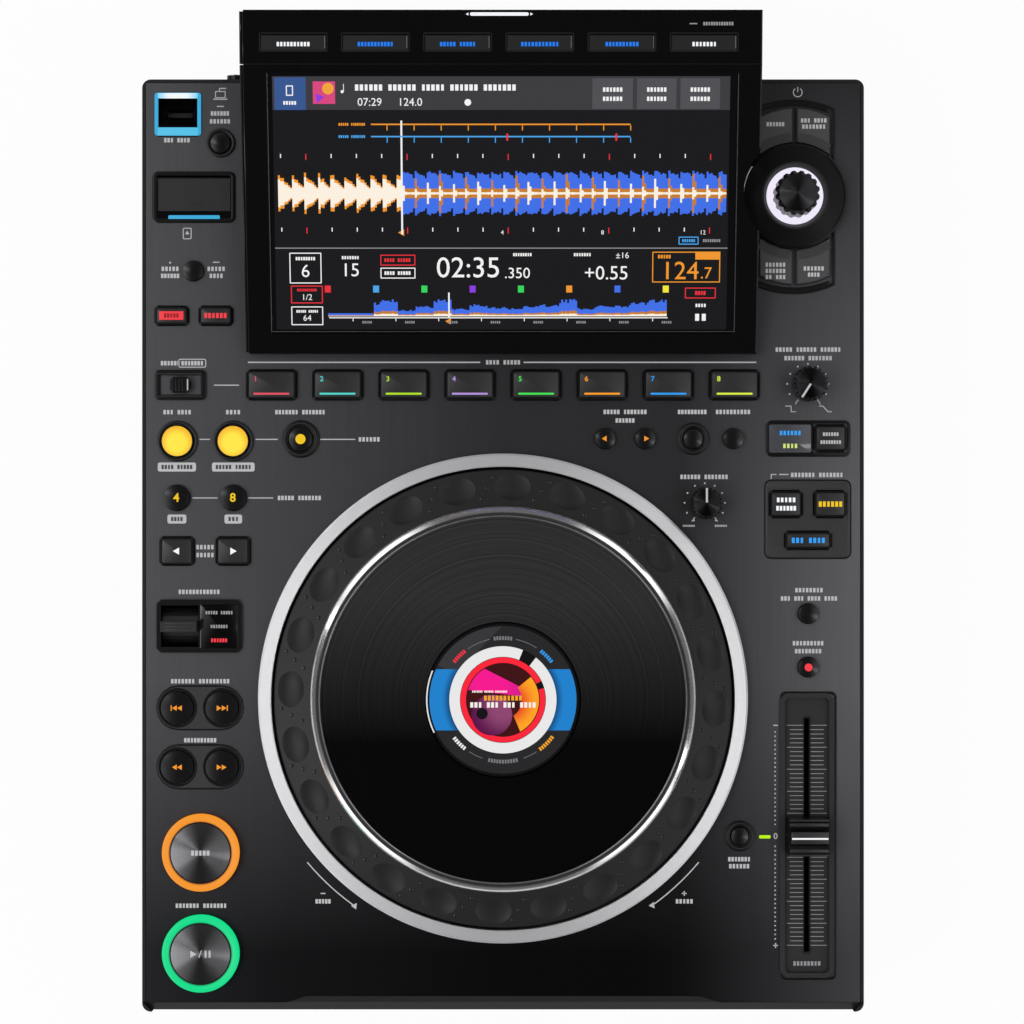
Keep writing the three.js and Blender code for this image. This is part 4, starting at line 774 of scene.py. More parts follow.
@dataclass
class Housing:
    """Tray, upper case, feet and what shows on the rear wall and the underside."""

    rear: float = 200.0
    side: float = 164.5
    underside: float = 8.0
    socket_line: float = 28.5
    phonos: tuple[float, ...] = (-126.7, -108.6, -90.5)
    vent_rear: float = 100.0
    vent_pitch: float = 6.0
    screw_radius: float = 3.4
    rear_screws: Rows = ((-155.0, 14.0), (-20.0, 14.0), (52.0, 36.0), (155.0, 14.0), (-155.0, 37.0))
    base_screws: Rows = ((-150.0, -205.0), (150.0, -205.0), (-150.0, 185.0), (150.0, 185.0), (0.0, -120.0))
    vent_rows: int = 9
    corner: float = 4.0
    feet: tuple[str, ...] = ("foot_front_left", "foot_front_right", "foot_rear_left", "foot_rear_right")

    def build(self) -> None:
        """Dresses the shells, rounds their corners and adds screws, vents and socket trims."""
        dress_nodes(ANODISED, "deck_panel")
        dress_nodes(POWDER_COAT, "chassis_tray")
        dress_nodes(MOULDED_ABS, "upper_case")
        dress_nodes(FOOT_RUBBER, *self.feet)
        dress_nodes(SOLDER_MASK, "main_board")
        dress_nodes(SOLDER_MASK.like("black_solder_mask", "#141816"), "panel_board")
        dress_nodes(ZINC_STEEL, "power_supply")
        dress_nodes(DARK_ABS, "ac_inlet", "power_button", "jack_board")
        self.corners()
        self.screws()
        self.vents()
        self.sockets()
        self.foot_screws()

    def corners(self) -> None:
        """Fills the shells' cut corners out to round ones."""
        for node, finish in (("chassis_tray", POWDER_COAT), ("upper_case", MOULDED_ABS)):
            low, high = (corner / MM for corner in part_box(node))
            posts = Bench(f"{node}_corners", low.z)
            inset = self.corner * 0.56
            for x, across in ((low.x, -1), (high.x, 1)):
                for y, along in ((low.y, -1), (high.y, 1)):
                    mid_x, mid_y = x - across * self.corner, y - along * self.corner
                    posts.disc(mid_x, mid_y, self.corner, 64)
                    posts.slice(mid_x + across * (inset - 0.5), mid_y + along * (inset - 0.5), across, along)
            posts.finish(finish, rise=high.z - low.z - 0.02)

    def screws(self) -> None:
        """Makes the rear and base screws: a raised head with a flat black cross, a painted shade where the
        cross recess lies.
        """
        for name, spots, tilt, pivot in (
            ("rear", self.rear_screws, -90.0, (0.0, self.rear, 0.0)),
            ("base", self.base_screws, 180.0, (0.0, 0.0, self.underside)),
        ):
            heads = Bench(f"{name}_screws", 0.0)
            for x, y in spots:
                heads.disc(x, -y, self.screw_radius, 24)
            heads.finish(ZINC_STEEL, rise=0.9, bevel=0.35, tilt=tilt, pivot=pivot, slot="steel_parts")
            # A flat black cross paints the shade of each cross recess.
            marks = Bench(f"{name}_screw_recess_painted_shade", 0.92)
            for x, y in spots:
                marks.plate(x, -y, 2.6, 0.7)
                marks.plate(x, -y, 0.7, 2.6)
            marks.finish(BLACK_INK, tilt=tilt, pivot=pivot)

    def vents(self) -> None:
        """Draws the tall vent slots in the tray's two sides as thin black slabs, a painted shade where the
        openings are.
        """
        for side, name in ((-1, "left"), (1, "right")):
            # Thin black slabs paint the shade inside each vent slot.
            painted_vent_shade = Bench(f"{name}_louvres", 0.0)
            for row in range(self.vent_rows):
                painted_vent_shade.plate(side * self.side, self.vent_rear - self.vent_pitch * row, 0.1, 2.4)
            painted_vent_shade.finish(BLACK_INK, rise=20.0, pivot=(0, 0, 16))

    def sockets(self) -> None:
        """Adds the sleeves and coloured rings round the round sockets in the rear wall."""
        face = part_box("jack_board")[1].y / MM
        for name, spots, outer, inner, finish, level in (
            ("phono_sleeves", self.phonos, 4.15, 3.4, ZINC_STEEL, face - self.rear),
            ("phono_white_ring", self.phonos[:1], 6.0, 4.6, WHITE_INK, 0.0),
            ("phono_red_ring", self.phonos[1:2], 6.0, 4.6, RED_RING, 0.0),
        ):
            sleeves = Bench(name, level)
            for x in spots:
                sleeves.ring(x, -self.socket_line, outer, inner, 32)
            sleeves.finish(finish, rise=0.4, bevel=0.1, tilt=-90, pivot=(0, self.rear, 0))

    def foot_screws(self) -> None:
        """Adds the screw sunk in the middle of each foot."""
        heads = Bench("foot_screws", 0.0)
        for name in self.feet:
            heads.disc(*middle(name), 4.0, 24)
        heads.finish(ZINC_STEEL, rise=0.3, bevel=0.1, pivot=(0, 0, 0.05), slot="steel_parts")


@dataclass
class Legends:
    """What is printed on the deck: rules, legends as small blocks, pills and dots."""

    rule: float = 0.45
    block: float = 2.0
    pill: float = 4.1
    rules: Rows = (
        (-63.3, 71.0, 105.8), (62.4, 71.0, 106.0), (-126.0, 60.6, 11.4), (-75.4, 35.9, 16.0),
        (-110.5, 9.2, 11.5), (-135.8, 9.2, 11.5), (-135.9, 35.9, 4.8), (-107.7, 35.9, 10.1),
    )
    legends: Rows = (
        (0.0, 71.0, 16.0, 2), (-129.0, 184.4, 8.6, 1), (-129.0, 180.8, 9.6, 1), (-148.6, 172.2, 12.0, 2),
        (-151.7, 113.6, 8.2, 1), (-151.7, 110.4, 8.6, 1), (-130.7, 113.6, 8.4, 1), (-130.7, 110.4, 6.4, 1),
        (-151.6, 70.6, 9.0, 1), (-141.6, 70.6, 10.2, 1), (-148.5, 48.3, 13.0, 2), (-123.0, 48.3, 7.0, 1),
        (-92.5, 48.3, 23.0, 2), (-61.0, 35.9, 10.0, 1), (-92.8, 9.2, 20.0, 2), (-135.8, -13.2, 8.4, 1),
        (-135.8, -16.8, 8.4, 1), (-138.5, -33.6, 19.0, 1), (-138.0, -74.3, 27.0, 2),
        (-138.0, -101.2, 15.0, 1), (-137.6, -176.6, 23.5, 2), (55.6, 48.4, 20.0, 2), (55.6, 44.5, 9.0, 1),
        (86.2, 48.4, 13.4, 1), (104.8, 48.4, 16.0, 1), (91.6, 18.8, 22.0, 2), (139.0, 76.8, 30.0, 3),
        (139.0, 72.9, 22.0, 2), (143.0, 19.7, 24.0, 2), (139.4, -32.8, 13.0, 1), (139.4, -36.6, 26.0, 4),
        (139.0, -57.0, 14.4, 1), (139.0, -60.6, 12.4, 1), (107.6, -155.4, 10.4, 1), (107.6, -158.6, 9.6, 1),
        (-82.0, -174.6, 7.2, 1), (82.6, -174.6, 8.2, 1),
    )
    pills: Rows = ((-148.6, 23.3, 17.4), (-122.9, 23.3, 19.4), (-148.6, -0.4, 8.6), (-122.9, -0.4, 8.0))
    strokes: Rows = (
        (-82.0, -171.0, 2.2, 0.5), (82.6, -171.0, 2.2, 0.5), (82.6, -171.0, 0.5, 2.2),
        (134.3, 195.3, 0.4, 2.4), (-128.8, 190.9, 6.4, 0.5), (-127.7, 195.8, 3.0, 0.5),
        (-129.2, 195.2, 0.4, 1.2), (-128.8, 187.6, 3.2, 0.5), (-130.7, 116.6, 3.0, 0.5),
        (128.0, 19.9, 4.2, 0.5), (123.3, 19.9, 2.6, 0.4), (122.2, 18.9, 0.4, 2.2),
    )
    arc_radius: float = 116.4

    def build(self) -> None:
        """Prints the deck."""
        ink = Bench("deck_white_print", DECK + 0.04)
        for x, y, length in self.rules:
            ink.plate(x, y, length, self.rule * (1.4 if length > 100 else 1.0))
        for x, y, width, parts in self.legends:
            ink.legend(x, y, width, parts, self.block)
        self.arcs(ink)
        self.signs(ink)
        ink.finish(WHITE_INK)
        pills = Bench("deck_grey_pills", DECK + 0.03)
        for x, y, width in self.pills:
            pills.plate(x, y, width, self.pill, 0.9)
        pills.finish(WHITE_INK)
        words = Bench("deck_pill_print", DECK + 0.06)
        for x, y, width in self.pills:
            words.legend(x, y, width - 3.0, 2 if width > 10 else 1, 1.9)
        words.finish(BLACK_INK.like("dark_grey_ink", "#3c3c3f"))

    def arcs(self, ink: Bench) -> None:
        """Draws the two turning arrows beside the front of the wheel.

        Args:
            ink: the bench that prints the deck.
        """
        for first, last, tip in ((220.5, 234.5, -1), (305.8, 319.8, 1)):
            ink.ring(*WHEEL, self.arc_radius + 0.25, self.arc_radius - 0.25, 180, (first, last))
            angle = last if tip < 0 else first
            ink.disc(*polar(WHEEL, self.arc_radius, angle), 1.7, 3, angle - 90 * tip)

    def signs(self, ink: Bench) -> None:
        """Draws the plain signs: plus, minus, power, card, screen and knob marks.

        Args:
            ink: the bench that prints the deck.
        """
        for stroke in self.strokes:
            ink.plate(*stroke)
        ink.ring(134.3, 194.0, 2.2, 1.8, 32, (120, 420))
        ink.frame(-128.8, 193.0, 4.8, 3.2, 0.4, 0.3)
        ink.frame(-141.6, 70.6, 12.7, 4.0, 0.4, 0.9)
        ink.frame(-143.9, 129.7, 4.0, 5.2, 0.4, 0.6)
        ink.arrow(-143.9, 129.9, 1.1, 90)
        ink.disc(-151.7, 116.4, 0.45, 12)
        for knob, reach in (("speed_knob", 9.4), ("jog_adjust_knob", 9.2)):
            for step in range(11):
                ink.disc(*polar(middle(knob), reach, -57 + 294 * step / 10), 0.42, 12)
        x, y = middle("speed_knob")
        for side in (-1, 1):
            ink.plate(x + side * 5.0, y - 7.9, 2.6, 0.45, turn=side * -57)
        for left, right, drop in (
            (-10.3, -7.5, -9.8), (-7.7, -5.4, -12.4), (5.1, 6.8, -9.8), (9.2, 10.9, -12.4)
        ):
            ink.plate(x + (left + right) / 2, y + drop, right - left, 0.4)
        ink.plate(x - 7.6, y - 11.1, 0.4, 3.0)
        ink.plate(x + 8.0, y - 11.1, 3.6, 0.4, turn=-47)
        x, y = middle("jog_adjust_knob")
        for side in (-1, 1):
            ink.legend(x + side * 7.3, y - 10.2, 5.6, 1, 0.9)
            ink.plate(x + side * 5.2, y - 7.3, 2.4, 0.45, turn=side * -55)


@dataclass(frozen=True)
class Slope:
    """A tilted face of the screen pod, on which marks are drawn flat and then leaned back.

    Attributes:
        y: a point of the face, along.
        z: the same point's height above the table.
        tilt: how far the face leans back, in degrees.
    """

    y: float
    z: float
    tilt: float

    def settle(self, bench: Bench, finish: Finish, lift: float = 0.0, **how: object) -> Piece:
        """Ends a piece drawn in this face's own plane, x across and y up the slope.

        Args:
            bench: the piece, drawn at level 0.
            finish: its finish.
            lift: how far it stands off the face.
            how: Bench.finish's other arguments.

        Returns:
            The finished piece.
        """
        lean = math.radians(self.tilt)
        pivot = (0, self.y - lift * math.sin(lean), self.z + lift * math.cos(lean))
        return bench.finish(finish, tilt=self.tilt, pivot=pivot, **how)


@dataclass
class ScreenPod:
    """The tilted screen housing with its key strip and status light."""

    half_width: float = 115.0
    front: Slope = Slope(74.5, 86.70, 13.0)
    strip: Slope = Slope(201.0, 115.90, 5.0)
    key_pitch: float = 36.4
    key_offset: float = -1.8
    key_row: float = 9.9
    key_width: float = 28.9
    key_depth: float = 6.9
    key_proud: float = 0.4

    def build(self) -> None:
        """Dresses the pod's shells and adds its trims, strip keys' print and lights."""
        dress_nodes(POLISHED_ACRYLIC, "display_housing", "display_bezel")
        dress_nodes(GLASS_COVER, "display_screen")
        dress_nodes(KEY_ABS.like("strip_key_abs", "#0b0b0c"), "display_keys")
        self.rails()
        self.trims()
        self.key_print()
        self.status_light()
        Picture(self.front).build()

    def rails(self) -> None:
        """Adds the rail down the pod's left side with a thin painted highlight on its edge, and a thin
        painted highlight down the right.
        """
        for face, first, last, name in ((self.front, 0.6, 129.6, "front"), (self.strip, 0.4, 23.4, "strip")):
            y, length = (first + last) / 2, last - first
            rail = Bench(f"pod_{name}_rails", 0.0).plate(-self.half_width - 0.8, y, 1.7, length)
            face.settle(rail, POLISHED_ACRYLIC, -3.2, rise=3.1, bevel=0.3)
            # A thin strip on the rail's outer edge is a painted highlight.
            line = Bench(f"pod_{name}_rail_painted_highlights", 0.0).plate(-self.half_width - 1.5, y, 0.3, length)
            face.settle(line, PAINTED_EDGE_HIGHLIGHT)
        for face, spans, name in (
            (self.front, ((0.6, 56.0), (93.0, 129.6)), "front"), (self.strip, ((0.4, 23.4),), "strip")
        ):
            # A thin strip down the pod's right edge is a painted highlight.
            edge = Bench(f"pod_{name}_right_painted_highlight", 0.0)
            for first, last in spans:
                edge.plate(self.half_width - 0.3, (first + last) / 2, 0.6, last - first)
            face.settle(edge, PAINTED_EDGE_HIGHLIGHT, 0.04)

    def key_places(self) -> list[float]:
        """Gives the middle of each strip key across the pod."""
        return [self.key_offset + self.key_pitch * (i - 2.5) for i in range(6)]

    def trims(self) -> None:
        """Adds the fine bright lines round the picture and along the fold, painted highlights where these
        edges catch light.
        """
        # Thin bright strips along the window's edges and the fold are painted highlights.
        window = Bench("screen_window_highlight", 0.0)
        for side in (-1, 1):
            window.plate(side * 104.6, 68.0, 0.35, 116.0)
        window.plate(0, 10.2, 209.0, 0.3)
        self.front.settle(window, THIN_EDGE.like("window_highlight_trim", "#86868a"), 0.04)
        fold = Bench("pod_fold_highlight", 0.0).plate(0, 0.3, 2 * self.half_width - 1.0, 0.35)
        self.strip.settle(fold, THIN_EDGE.like("fold_highlight_trim", "#3c3c40"), 0.06)
        slots = Bench("strip_key_slots", 0.0)
        for x in self.key_places():
            slots.frame(x, self.key_row, self.key_width + 1.4, self.key_depth + 1.4, 0.35, 0.8)
        self.strip.settle(slots, MOULDED_ABS, 0.03)
        words = Bench("menu_legend", 0.0)
        words.plate(84.4, 18.0, 3.4, 0.5)
        words.legend(95.4, 18.0, 13.6, 1, 1.5)
        self.strip.settle(words, GREY_INK, 0.03)

    def key_print(self) -> None:
        """Prints a block legend on each strip key, lit blue on the four in the middle, with a painted
        highlight down each key's right edge.
        """
        white = Bench("strip_key_print_white", 0.0)
        blue = Bench("strip_key_print_blue", 0.0)
        edges = Bench("strip_key_edge_highlights", 0.0)
        widths = (15.0, 16.0, 16.0, 17.0, 15.0, 11.0)
        for index, (x, width) in enumerate(zip(self.key_places(), widths, strict=True)):
            bench = white if index in (0, 5) else blue
            bench.resume()
            bench.legend(x, self.key_row - 0.9, width, 2 if index == 2 else 1, 1.9)
            # A thin bright strip down each key's right edge is a painted highlight.
            edges.resume()
            edges.plate(x + self.key_width / 2 - 0.5, self.key_row, 0.4, self.key_depth - 1.6)
        for bench, finish in ((white, WHITE_LENS), (blue, DEEP_BLUE_LENS), (edges, THIN_EDGE)):
            self.strip.settle(bench, finish, self.key_proud + 0.04, body="display_keys")

    def status_light(self) -> None:
        """Adds the light bar at the middle of the pod's rear edge, with tapered ends."""
        bar = Bench("status_light", 0.0)
        bar.plate(-1.5, 22.2, 26.0, 1.5, 0.7)
        bar.arrow(12.6, 22.2, 0.8)
        bar.arrow(-15.6, 22.2, 0.8, 180)
        self.strip.settle(bar, WHITE_LENS, 0.05)


@dataclass
class Picture:
    """The lit picture: a generic track view drawn in coloured pixels, with no names in it."""

    face: Slope
    width: float = 203.4
    depth: float = 113.93
    centre: float = 67.76
    left_by: float = 0.7
    first_column: float = 274.0
    columns: float = 452.0
    first_row: float = 78.0
    rows_down: float = 252.0
    outline: float = 0.45
    sunk: float = -0.62
    seed: int = 7
    inks: dict[str, Bench] = field(default_factory=dict)

    def ink(self, name: str) -> Bench:
        """Takes up the pen of one colour, on a level of its own.

        Args:
            name: the colour's name.

        Returns:
            The bench that draws in that colour.
        """
        if name not in self.inks:
            self.inks[name] = Bench(f"picture_{name}", 0.0)
        self.inks[name].resume()
        return self.inks[name]

    def at(self, column: float, row: float) -> Point:
        """Gives the spot of a column, from 274 to 726, and a row, from 78 down to 330."""
        x = ((column - self.first_column) / self.columns - 0.5) * self.width - self.left_by
        return x, self.centre + (0.5 - (row - self.first_row) / self.rows_down) * self.depth

    def box(self, name: str, left: float, top: float, right: float, bottom: float, band: float = 0.0) -> None:
        """Fills a box, or draws its outline.

        Args:
            name: its colour.
            left: its first column.
            top: its first row.
            right: its last column.
            bottom: its last row.
            band: width of the outline, or 0 for a filled box.
        """
        size = self.width / self.columns
        spot = self.at((left + right) / 2, (top + bottom) / 2)
        area = (*spot, (right - left) * size, (bottom - top) * size)
        if band:
            self.ink(name).frame(*area, band, 0.3)
        else:
            self.ink(name).plate(*area)

    def build(self) -> None:
        """Draws the header, the two waveforms and the row of values."""
        self.cover()
        self.header()
        self.phases()
        self.waveform()
        self.values()
        self.overview()
        colours = {
            "ground": "#131315", "header": "#3a3a3d", "tab": "#4f4f53", "tile": "#36558f",
            "blue": "#3f6ee6", "brown": "#c47c2c", "orange": "#f0962c", "cream": "#fdf0df",
            "white": "#f2f2f2", "grey": "#8e8e92", "sky": "#4aa3e8", "red": "#e8313c",
            "art_pink": "#d8467e", "art_gold": "#f0a33a", "yellow": "#f2e63c", "green": "#34d45c",
            "violet": "#8a3ce0",
        }
        order = list(colours)
        for name, bench in self.inks.items():
            lift = self.sunk + 0.05 + 0.02 * order.index(name)
            self.face.settle(bench, pixels(f"pixels_{name}", colours[name]), lift)

    def cover(self) -> None:
        """Lays the screen's black glass, which fills the window up to its edge."""
        glass = Bench("screen_glass", 0.0).plate(0.0, 67.9, 208.2, 117.0)
        self.face.settle(glass, GLASS_COVER.like("black_glass", "#0b0b0d"), -3.3, rise=2.66)

    def header(self) -> None:
        """Draws the top bar: source tile, artwork tile, title blocks, signs and tabs."""
        self.box("ground", 274, 78, 726, 330)
        self.box("header", 274, 78, 726, 111)
        self.box("tile", 276, 79, 307, 111)
        white = self.ink("white")
        white.frame(*self.at(291, 92), 3.2, 4.6, 0.5, 0.3)
        self.box("art_pink", 314, 83, 336, 105)
        self.ink("art_gold").disc(*self.at(329, 90), 2.6, 20)
        self.ink("violet").disc(*self.at(320, 99), 2.4, 3, 40)
        self.ink("white").disc(*self.at(343, 93), 0.7, 12)
        white.plate(*self.at(344.4, 89), 0.3, 3.2)
        white.glyphs("07:29", *self.at(370, 103.5), 3.6)
        white.glyphs("124.0", *self.at(410, 103.5), 3.6)
        white.disc(*self.at(467, 103.5), 1.5, 20)
        self.rows("white", (291, 104, 6.0, 1, 1.6), (435, 89, 72.0, 5, 2.7))
        for left, right in ((590, 630), (634, 673), (677, 716)):
            self.box("tab", left, 80, right, 110)
            centre = (left + right) / 2
            self.rows("white", (centre, 91, 9.0, 1, 1.9), (centre, 100, 9.0, 1, 1.9))

    def rows(self, name: str, *rows: tuple[float, ...]) -> None:
        """Draws rows of blocks.

        Args:
            name: their colour.
            rows: for each its column, row, width, groups and height.
        """
        pen = self.ink(name)
        for column, row, width, parts, height in rows:
            pen.legend(*self.at(column, row), width, int(parts), height)

    def phases(self) -> None:
        """Draws the two thin phase lines under the header."""
        for name, row in (("orange", 125), ("sky", 137)):
            self.box(name, 371, row - 0.7, 628, row + 0.7)
            for step in range(10):
                column = 387 + step * 26.8
                self.box(name, column - 0.5, row + 1, column + 0.5, row + 6)
            self.rows(name, (352, row, 12.0, 2, 1.2))
        self.box("red", 505, 134, 507, 141)
        self.box("red", 613, 134, 615, 141)

    def waveform(self) -> None:
        """Draws the large waveform from random heights: cream to the left, bursts to the right."""
        chance = Random(self.seed)
        middle_row = 193.0
        for column in range(279, 401, 2):
            beat = (column - 279) % 13 / 13
            reach = 5 + 15 * (1 - beat) * chance.uniform(0.75, 1.1)
            self.box("orange", column - 1, middle_row - reach, column + 1, middle_row + reach)
            self.box("cream", column - 1, middle_row - 0.78 * reach, column + 1, middle_row + 0.78 * reach)
        for column in range(401, 725, 2):
            count, beat = divmod((column - 401) / 12.6, 1)
            full = 22 * (1 - 0.2 * beat) * chance.uniform(0.92, 1.05) if beat < 0.86 else 15.0
            low = max(4.6, 20 * (1 - 2.4 * beat)) if count % 2 else 4.8
            core = max(1.2, (7 if count % 2 else 14) * (1 - 2.8 * beat)) * chance.uniform(0.8, 1.1)
            for colour, reach in (("blue", full), ("brown", low), ("cream", core)):
                self.box(colour, column - 1, middle_row - reach, column + 1, middle_row + reach)
        for step in range(18):
            column = 281 + step * 25.1
            colour = "red" if step % 4 == 1 else "white"
            for first in (154, 227):
                self.box(colour, column - 0.5, first, column + 0.5, first + (6 if step % 4 == 1 else 4))
        self.box("white", 400.2, 121, 402.0, 234)
        self.ink("orange").disc(*self.at(401, 232), 1.8, 3, 90)
        for text, column in (("4", 501), ("8", 601), ("12", 701)):
            self.ink("white").glyphs(text, *self.at(column, 232), 2.0)
        self.box("sky", 677, 236, 697, 244, self.outline)
        self.rows("sky", (687, 240, 6.0, 1, 1.3))
        self.rows("grey", (710, 240, 8.0, 1, 1.3))

    def values(self) -> None:
        """Draws the row of boxes and digits under the waveform."""
        self.box("grey", 274, 247, 726, 248)
        for name, *edges in (
            ("white", 288, 252, 320, 283), ("red", 379, 254, 414, 265), ("white", 379, 267, 414, 278),
            ("orange", 651, 251, 719, 282), ("red", 684, 287, 715, 298), ("red", 289, 285, 321, 303),
            ("white", 289, 306, 321, 325),
        ):
            self.box(name, *edges, self.outline)
        self.box("orange", 694, 251, 719, 259)
        for name, text, column, row, height in (
            ("white", "6", 304, 271, 6.0), ("white", "15", 349, 270, 6.2),
            ("white", "02:35", 467, 268, 9.6), ("white", ".350", 516, 273, 5.0),
            ("white", "+0.55", 605, 273, 6.4), ("white", "±16", 621, 255, 2.8),
            ("white", "1/2", 305, 297, 2.8), ("white", "64", 305, 318, 2.8),
            ("orange", "124", 679, 271, 8.4), ("orange", ".7", 705, 273, 5.4),
        ):
            self.ink(name).glyphs(text, *self.at(column, row), height)
        self.rows(
            "white", (304, 258, 9.0, 1, 1.5), (349, 257, 8.0, 1, 1.4), (521, 254, 8.6, 1, 1.4),
            (581, 254, 8.0, 1, 1.4), (396, 272.5, 12.0, 2, 1.6), (305, 311, 10.0, 2, 1.2),
            (700, 305, 5.0, 1, 1.5), (700, 317, 6.0, 1, 3.2),
        )
        self.rows("red", (396, 259.5, 12.0, 2, 1.6), (699.5, 292.5, 5.0, 1, 1.8), (305, 289.5, 9.0, 1, 1.2))
        self.rows("orange", (663, 256, 6.0, 1, 1.6))

    def overview(self) -> None:
        """Draws the small waveform of the whole track, its markers and its ruler."""
        chance = Random(self.seed + 1)
        markers = ("red", "sky", "green", "violet", "green", "orange", "blue", "yellow")
        for index, colour in enumerate(markers):
            column = 326 + 48.4 * index
            self.box(colour, column - 3, 285, column + 3, 292)
        level = 5.0
        for column in range(327, 667, 2):
            if column % 18 == 1 or column in (375, 451, 505):
                level = chance.uniform(6, 17)
            reach = 3 if column < 372 else level * chance.uniform(0.8, 1.05)
            self.box("blue", column - 1, 316 - reach, column + 1, 316)
            self.box("brown", column - 1, 316 - 0.34 * reach, column + 1, 316)
            self.box("cream", column - 1, 316 - 0.16 * reach, column + 1, 316)
        self.box("white", 327, 317, 667, 318)
        for step in range(8):
            column = 351 + 43 * step
            self.box("white", column - 0.4, 318, column + 0.4, 321)
            self.rows("grey", (column + 14, 322, 4.6, 1, 1.1))
        self.box("white", 446.6, 292, 448.2, 318)
        self.ink("orange").disc(*self.at(447.4, 321), 1.7, 3, 90)


@dataclass
class JogWheel:
    """The ring, the dimpled rim, the grooved lid and the lit display at the hub."""

    centre: Point = WHEEL
    sides: int = 240
    dimples: int = 24
    first_dimple: float = 12.4
    dimple_reach: float = 96.3
    dimple_axes: tuple[float, float, float] = (7.95, 10.6, 4.0)
    dimple_lift: float = 2.4
    rim_inner: float = 87.3
    rim_top: float = 88.5
    rim_outer: float = 104.1
    rim_edge: float = 84.0
    rim_round: float = 0.5
    lid_top: float = 92.0
    display_top: float = 91.9
    hub_radius: float = 33.3
    band_outer: float = 24.2
    band_inner: float = 19.3
    picture_radius: float = 16.3

    def build(self) -> None:
        """Dresses the wheel's CAD nodes and adds its ring, rim, bright edge and display."""
        dress_nodes(DARK_ABS, "jog_base")
        dress_nodes(GROOVED_LID, "jog_plate")
        dress_nodes(GLASS_COVER.like("hub_glass", "#151517"), "jog_display")
        self.ring()
        self.rim()
        self.edges()
        self.studs()
        self.display()
        self.artwork()
        self.marks(self.display_top + 0.05)

    def ring(self) -> None:
        """Turns the silver ring finely, in the place of the CAD one."""
        profile = (
            (105.35, 74.0), (108.6, 74.0), (108.6, 80.2), (111.4, 80.2), (111.4, 82.7), (111.15, 83.5),
            (110.4, 84.7), (105.7, 84.7), (105.35, 84.35),
        )
        piece = revolve("jog_ring_turned", profile, self.centre, TURNED_ALUMINIUM, "root", self.sides)
        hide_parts("jog_ring")

    def slope_at(self, reach: float) -> float:
        """Gives the rim's height above the table at a radius."""
        share = (reach - self.rim_inner) / (self.rim_outer - self.rim_round - self.rim_inner)
        return self.rim_top + share * (self.rim_edge - self.rim_top)

    def rim(self) -> None:
        """Turns the rubber rim and scoops an oval dimple for each finger out of it."""
        profile = (
            (self.rim_inner, self.rim_top), (self.rim_outer - self.rim_round, self.rim_edge),
            (self.rim_outer - 0.2, self.rim_edge - 0.25), (self.rim_outer, self.rim_edge - self.rim_round),
            (self.rim_outer, 76.5), (99.0, 76.5), (99.0, 80.2), (self.rim_inner, 84.4),
        )
        piece = revolve("jog_rim_moulded", profile, self.centre, SILICONE, "jog_wheel", self.sides)
        tilt = math.atan2(self.rim_top - self.rim_edge, self.rim_outer - self.rim_round - self.rim_inner)
        reach = self.dimple_reach + self.dimple_lift * math.sin(tilt)
        level = self.slope_at(self.dimple_reach) + self.dimple_lift * math.cos(tilt)
        balls = Bench("dimple_balls", level)
        for step in range(self.dimples):
            angle = self.first_dimple + step * 360 / self.dimples
            bpy.ops.mesh.primitive_uv_sphere_add(
                segments=48, ring_count=24, radius=MM, location=balls.at(*polar(self.centre, reach, angle)),
                rotation=(0, tilt, math.radians(angle)), scale=self.dimple_axes,
            )
        carve(piece, balls)
        bpy.ops.object.shade_smooth_by_angle(angle=math.radians(18))
        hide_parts("jog_rim")

    def edges(self) -> None:
        """Turns the chrome band round the lid, a flat black band of painted shade for the groove in it, and
        the fine bright line.
        """
        for name, finish, profile in (
            ("lid_chrome_band", BRIGHT_EDGE, (
                (84.4, 0.0), (84.5, 0.14), (84.8, 0.14), (86.7, -1.15), (87.6, -2.5), (87.8, -3.4),
                (87.8, -3.8), (86.3, -3.8), (84.6, -0.6),
            )),
            # A flat black band paints the shade of the groove.
            ("lid_painted_groove_shade", BLACK_INK, ((83.2, 0.03), (84.5, 0.03), (84.5, -0.5), (83.2, -0.5))),
            ("lid_fine_line", THIN_EDGE, (
                (82.6, 0.0), (82.75, 0.16), (83.15, 0.16), (83.3, 0.0), (83.3, -0.3), (82.6, -0.3),
            )),
        ):
            raised = [(radius, self.lid_top + rise) for radius, rise in profile]
            revolve(name, raised, self.centre, finish, "jog_wheel", self.sides)

    def studs(self) -> None:
        """Moulds three small studs in a slanting row between each pair of dimples."""
        for index, (reach, shift) in enumerate(((91.2, 1.2), (95.9, -0.6), (100.5, -2.3))):
            studs = Bench(f"rim_studs_{index + 1}", self.slope_at(reach) - 0.15)
            for step in range(self.dimples):
                angle = self.first_dimple + (step + 0.5) * 360 / self.dimples + shift
                studs.disc(*polar(self.centre, reach, angle), 0.85, 12)
            studs.finish(STUD_SILICONE, "jog_wheel", rise=0.6, bevel=0.28, slot="rubber")

    def display(self) -> None:
        """Draws the hub's lit fields and rings, a painted reflection on its glass and a painted glint on its
        left edge.
        """
        x, y = self.centre
        level = self.display_top + 0.03
        Bench("hub_ground", level).disc(x, y, self.hub_radius, 128).finish(pixels("hub_ground", "#232324"))
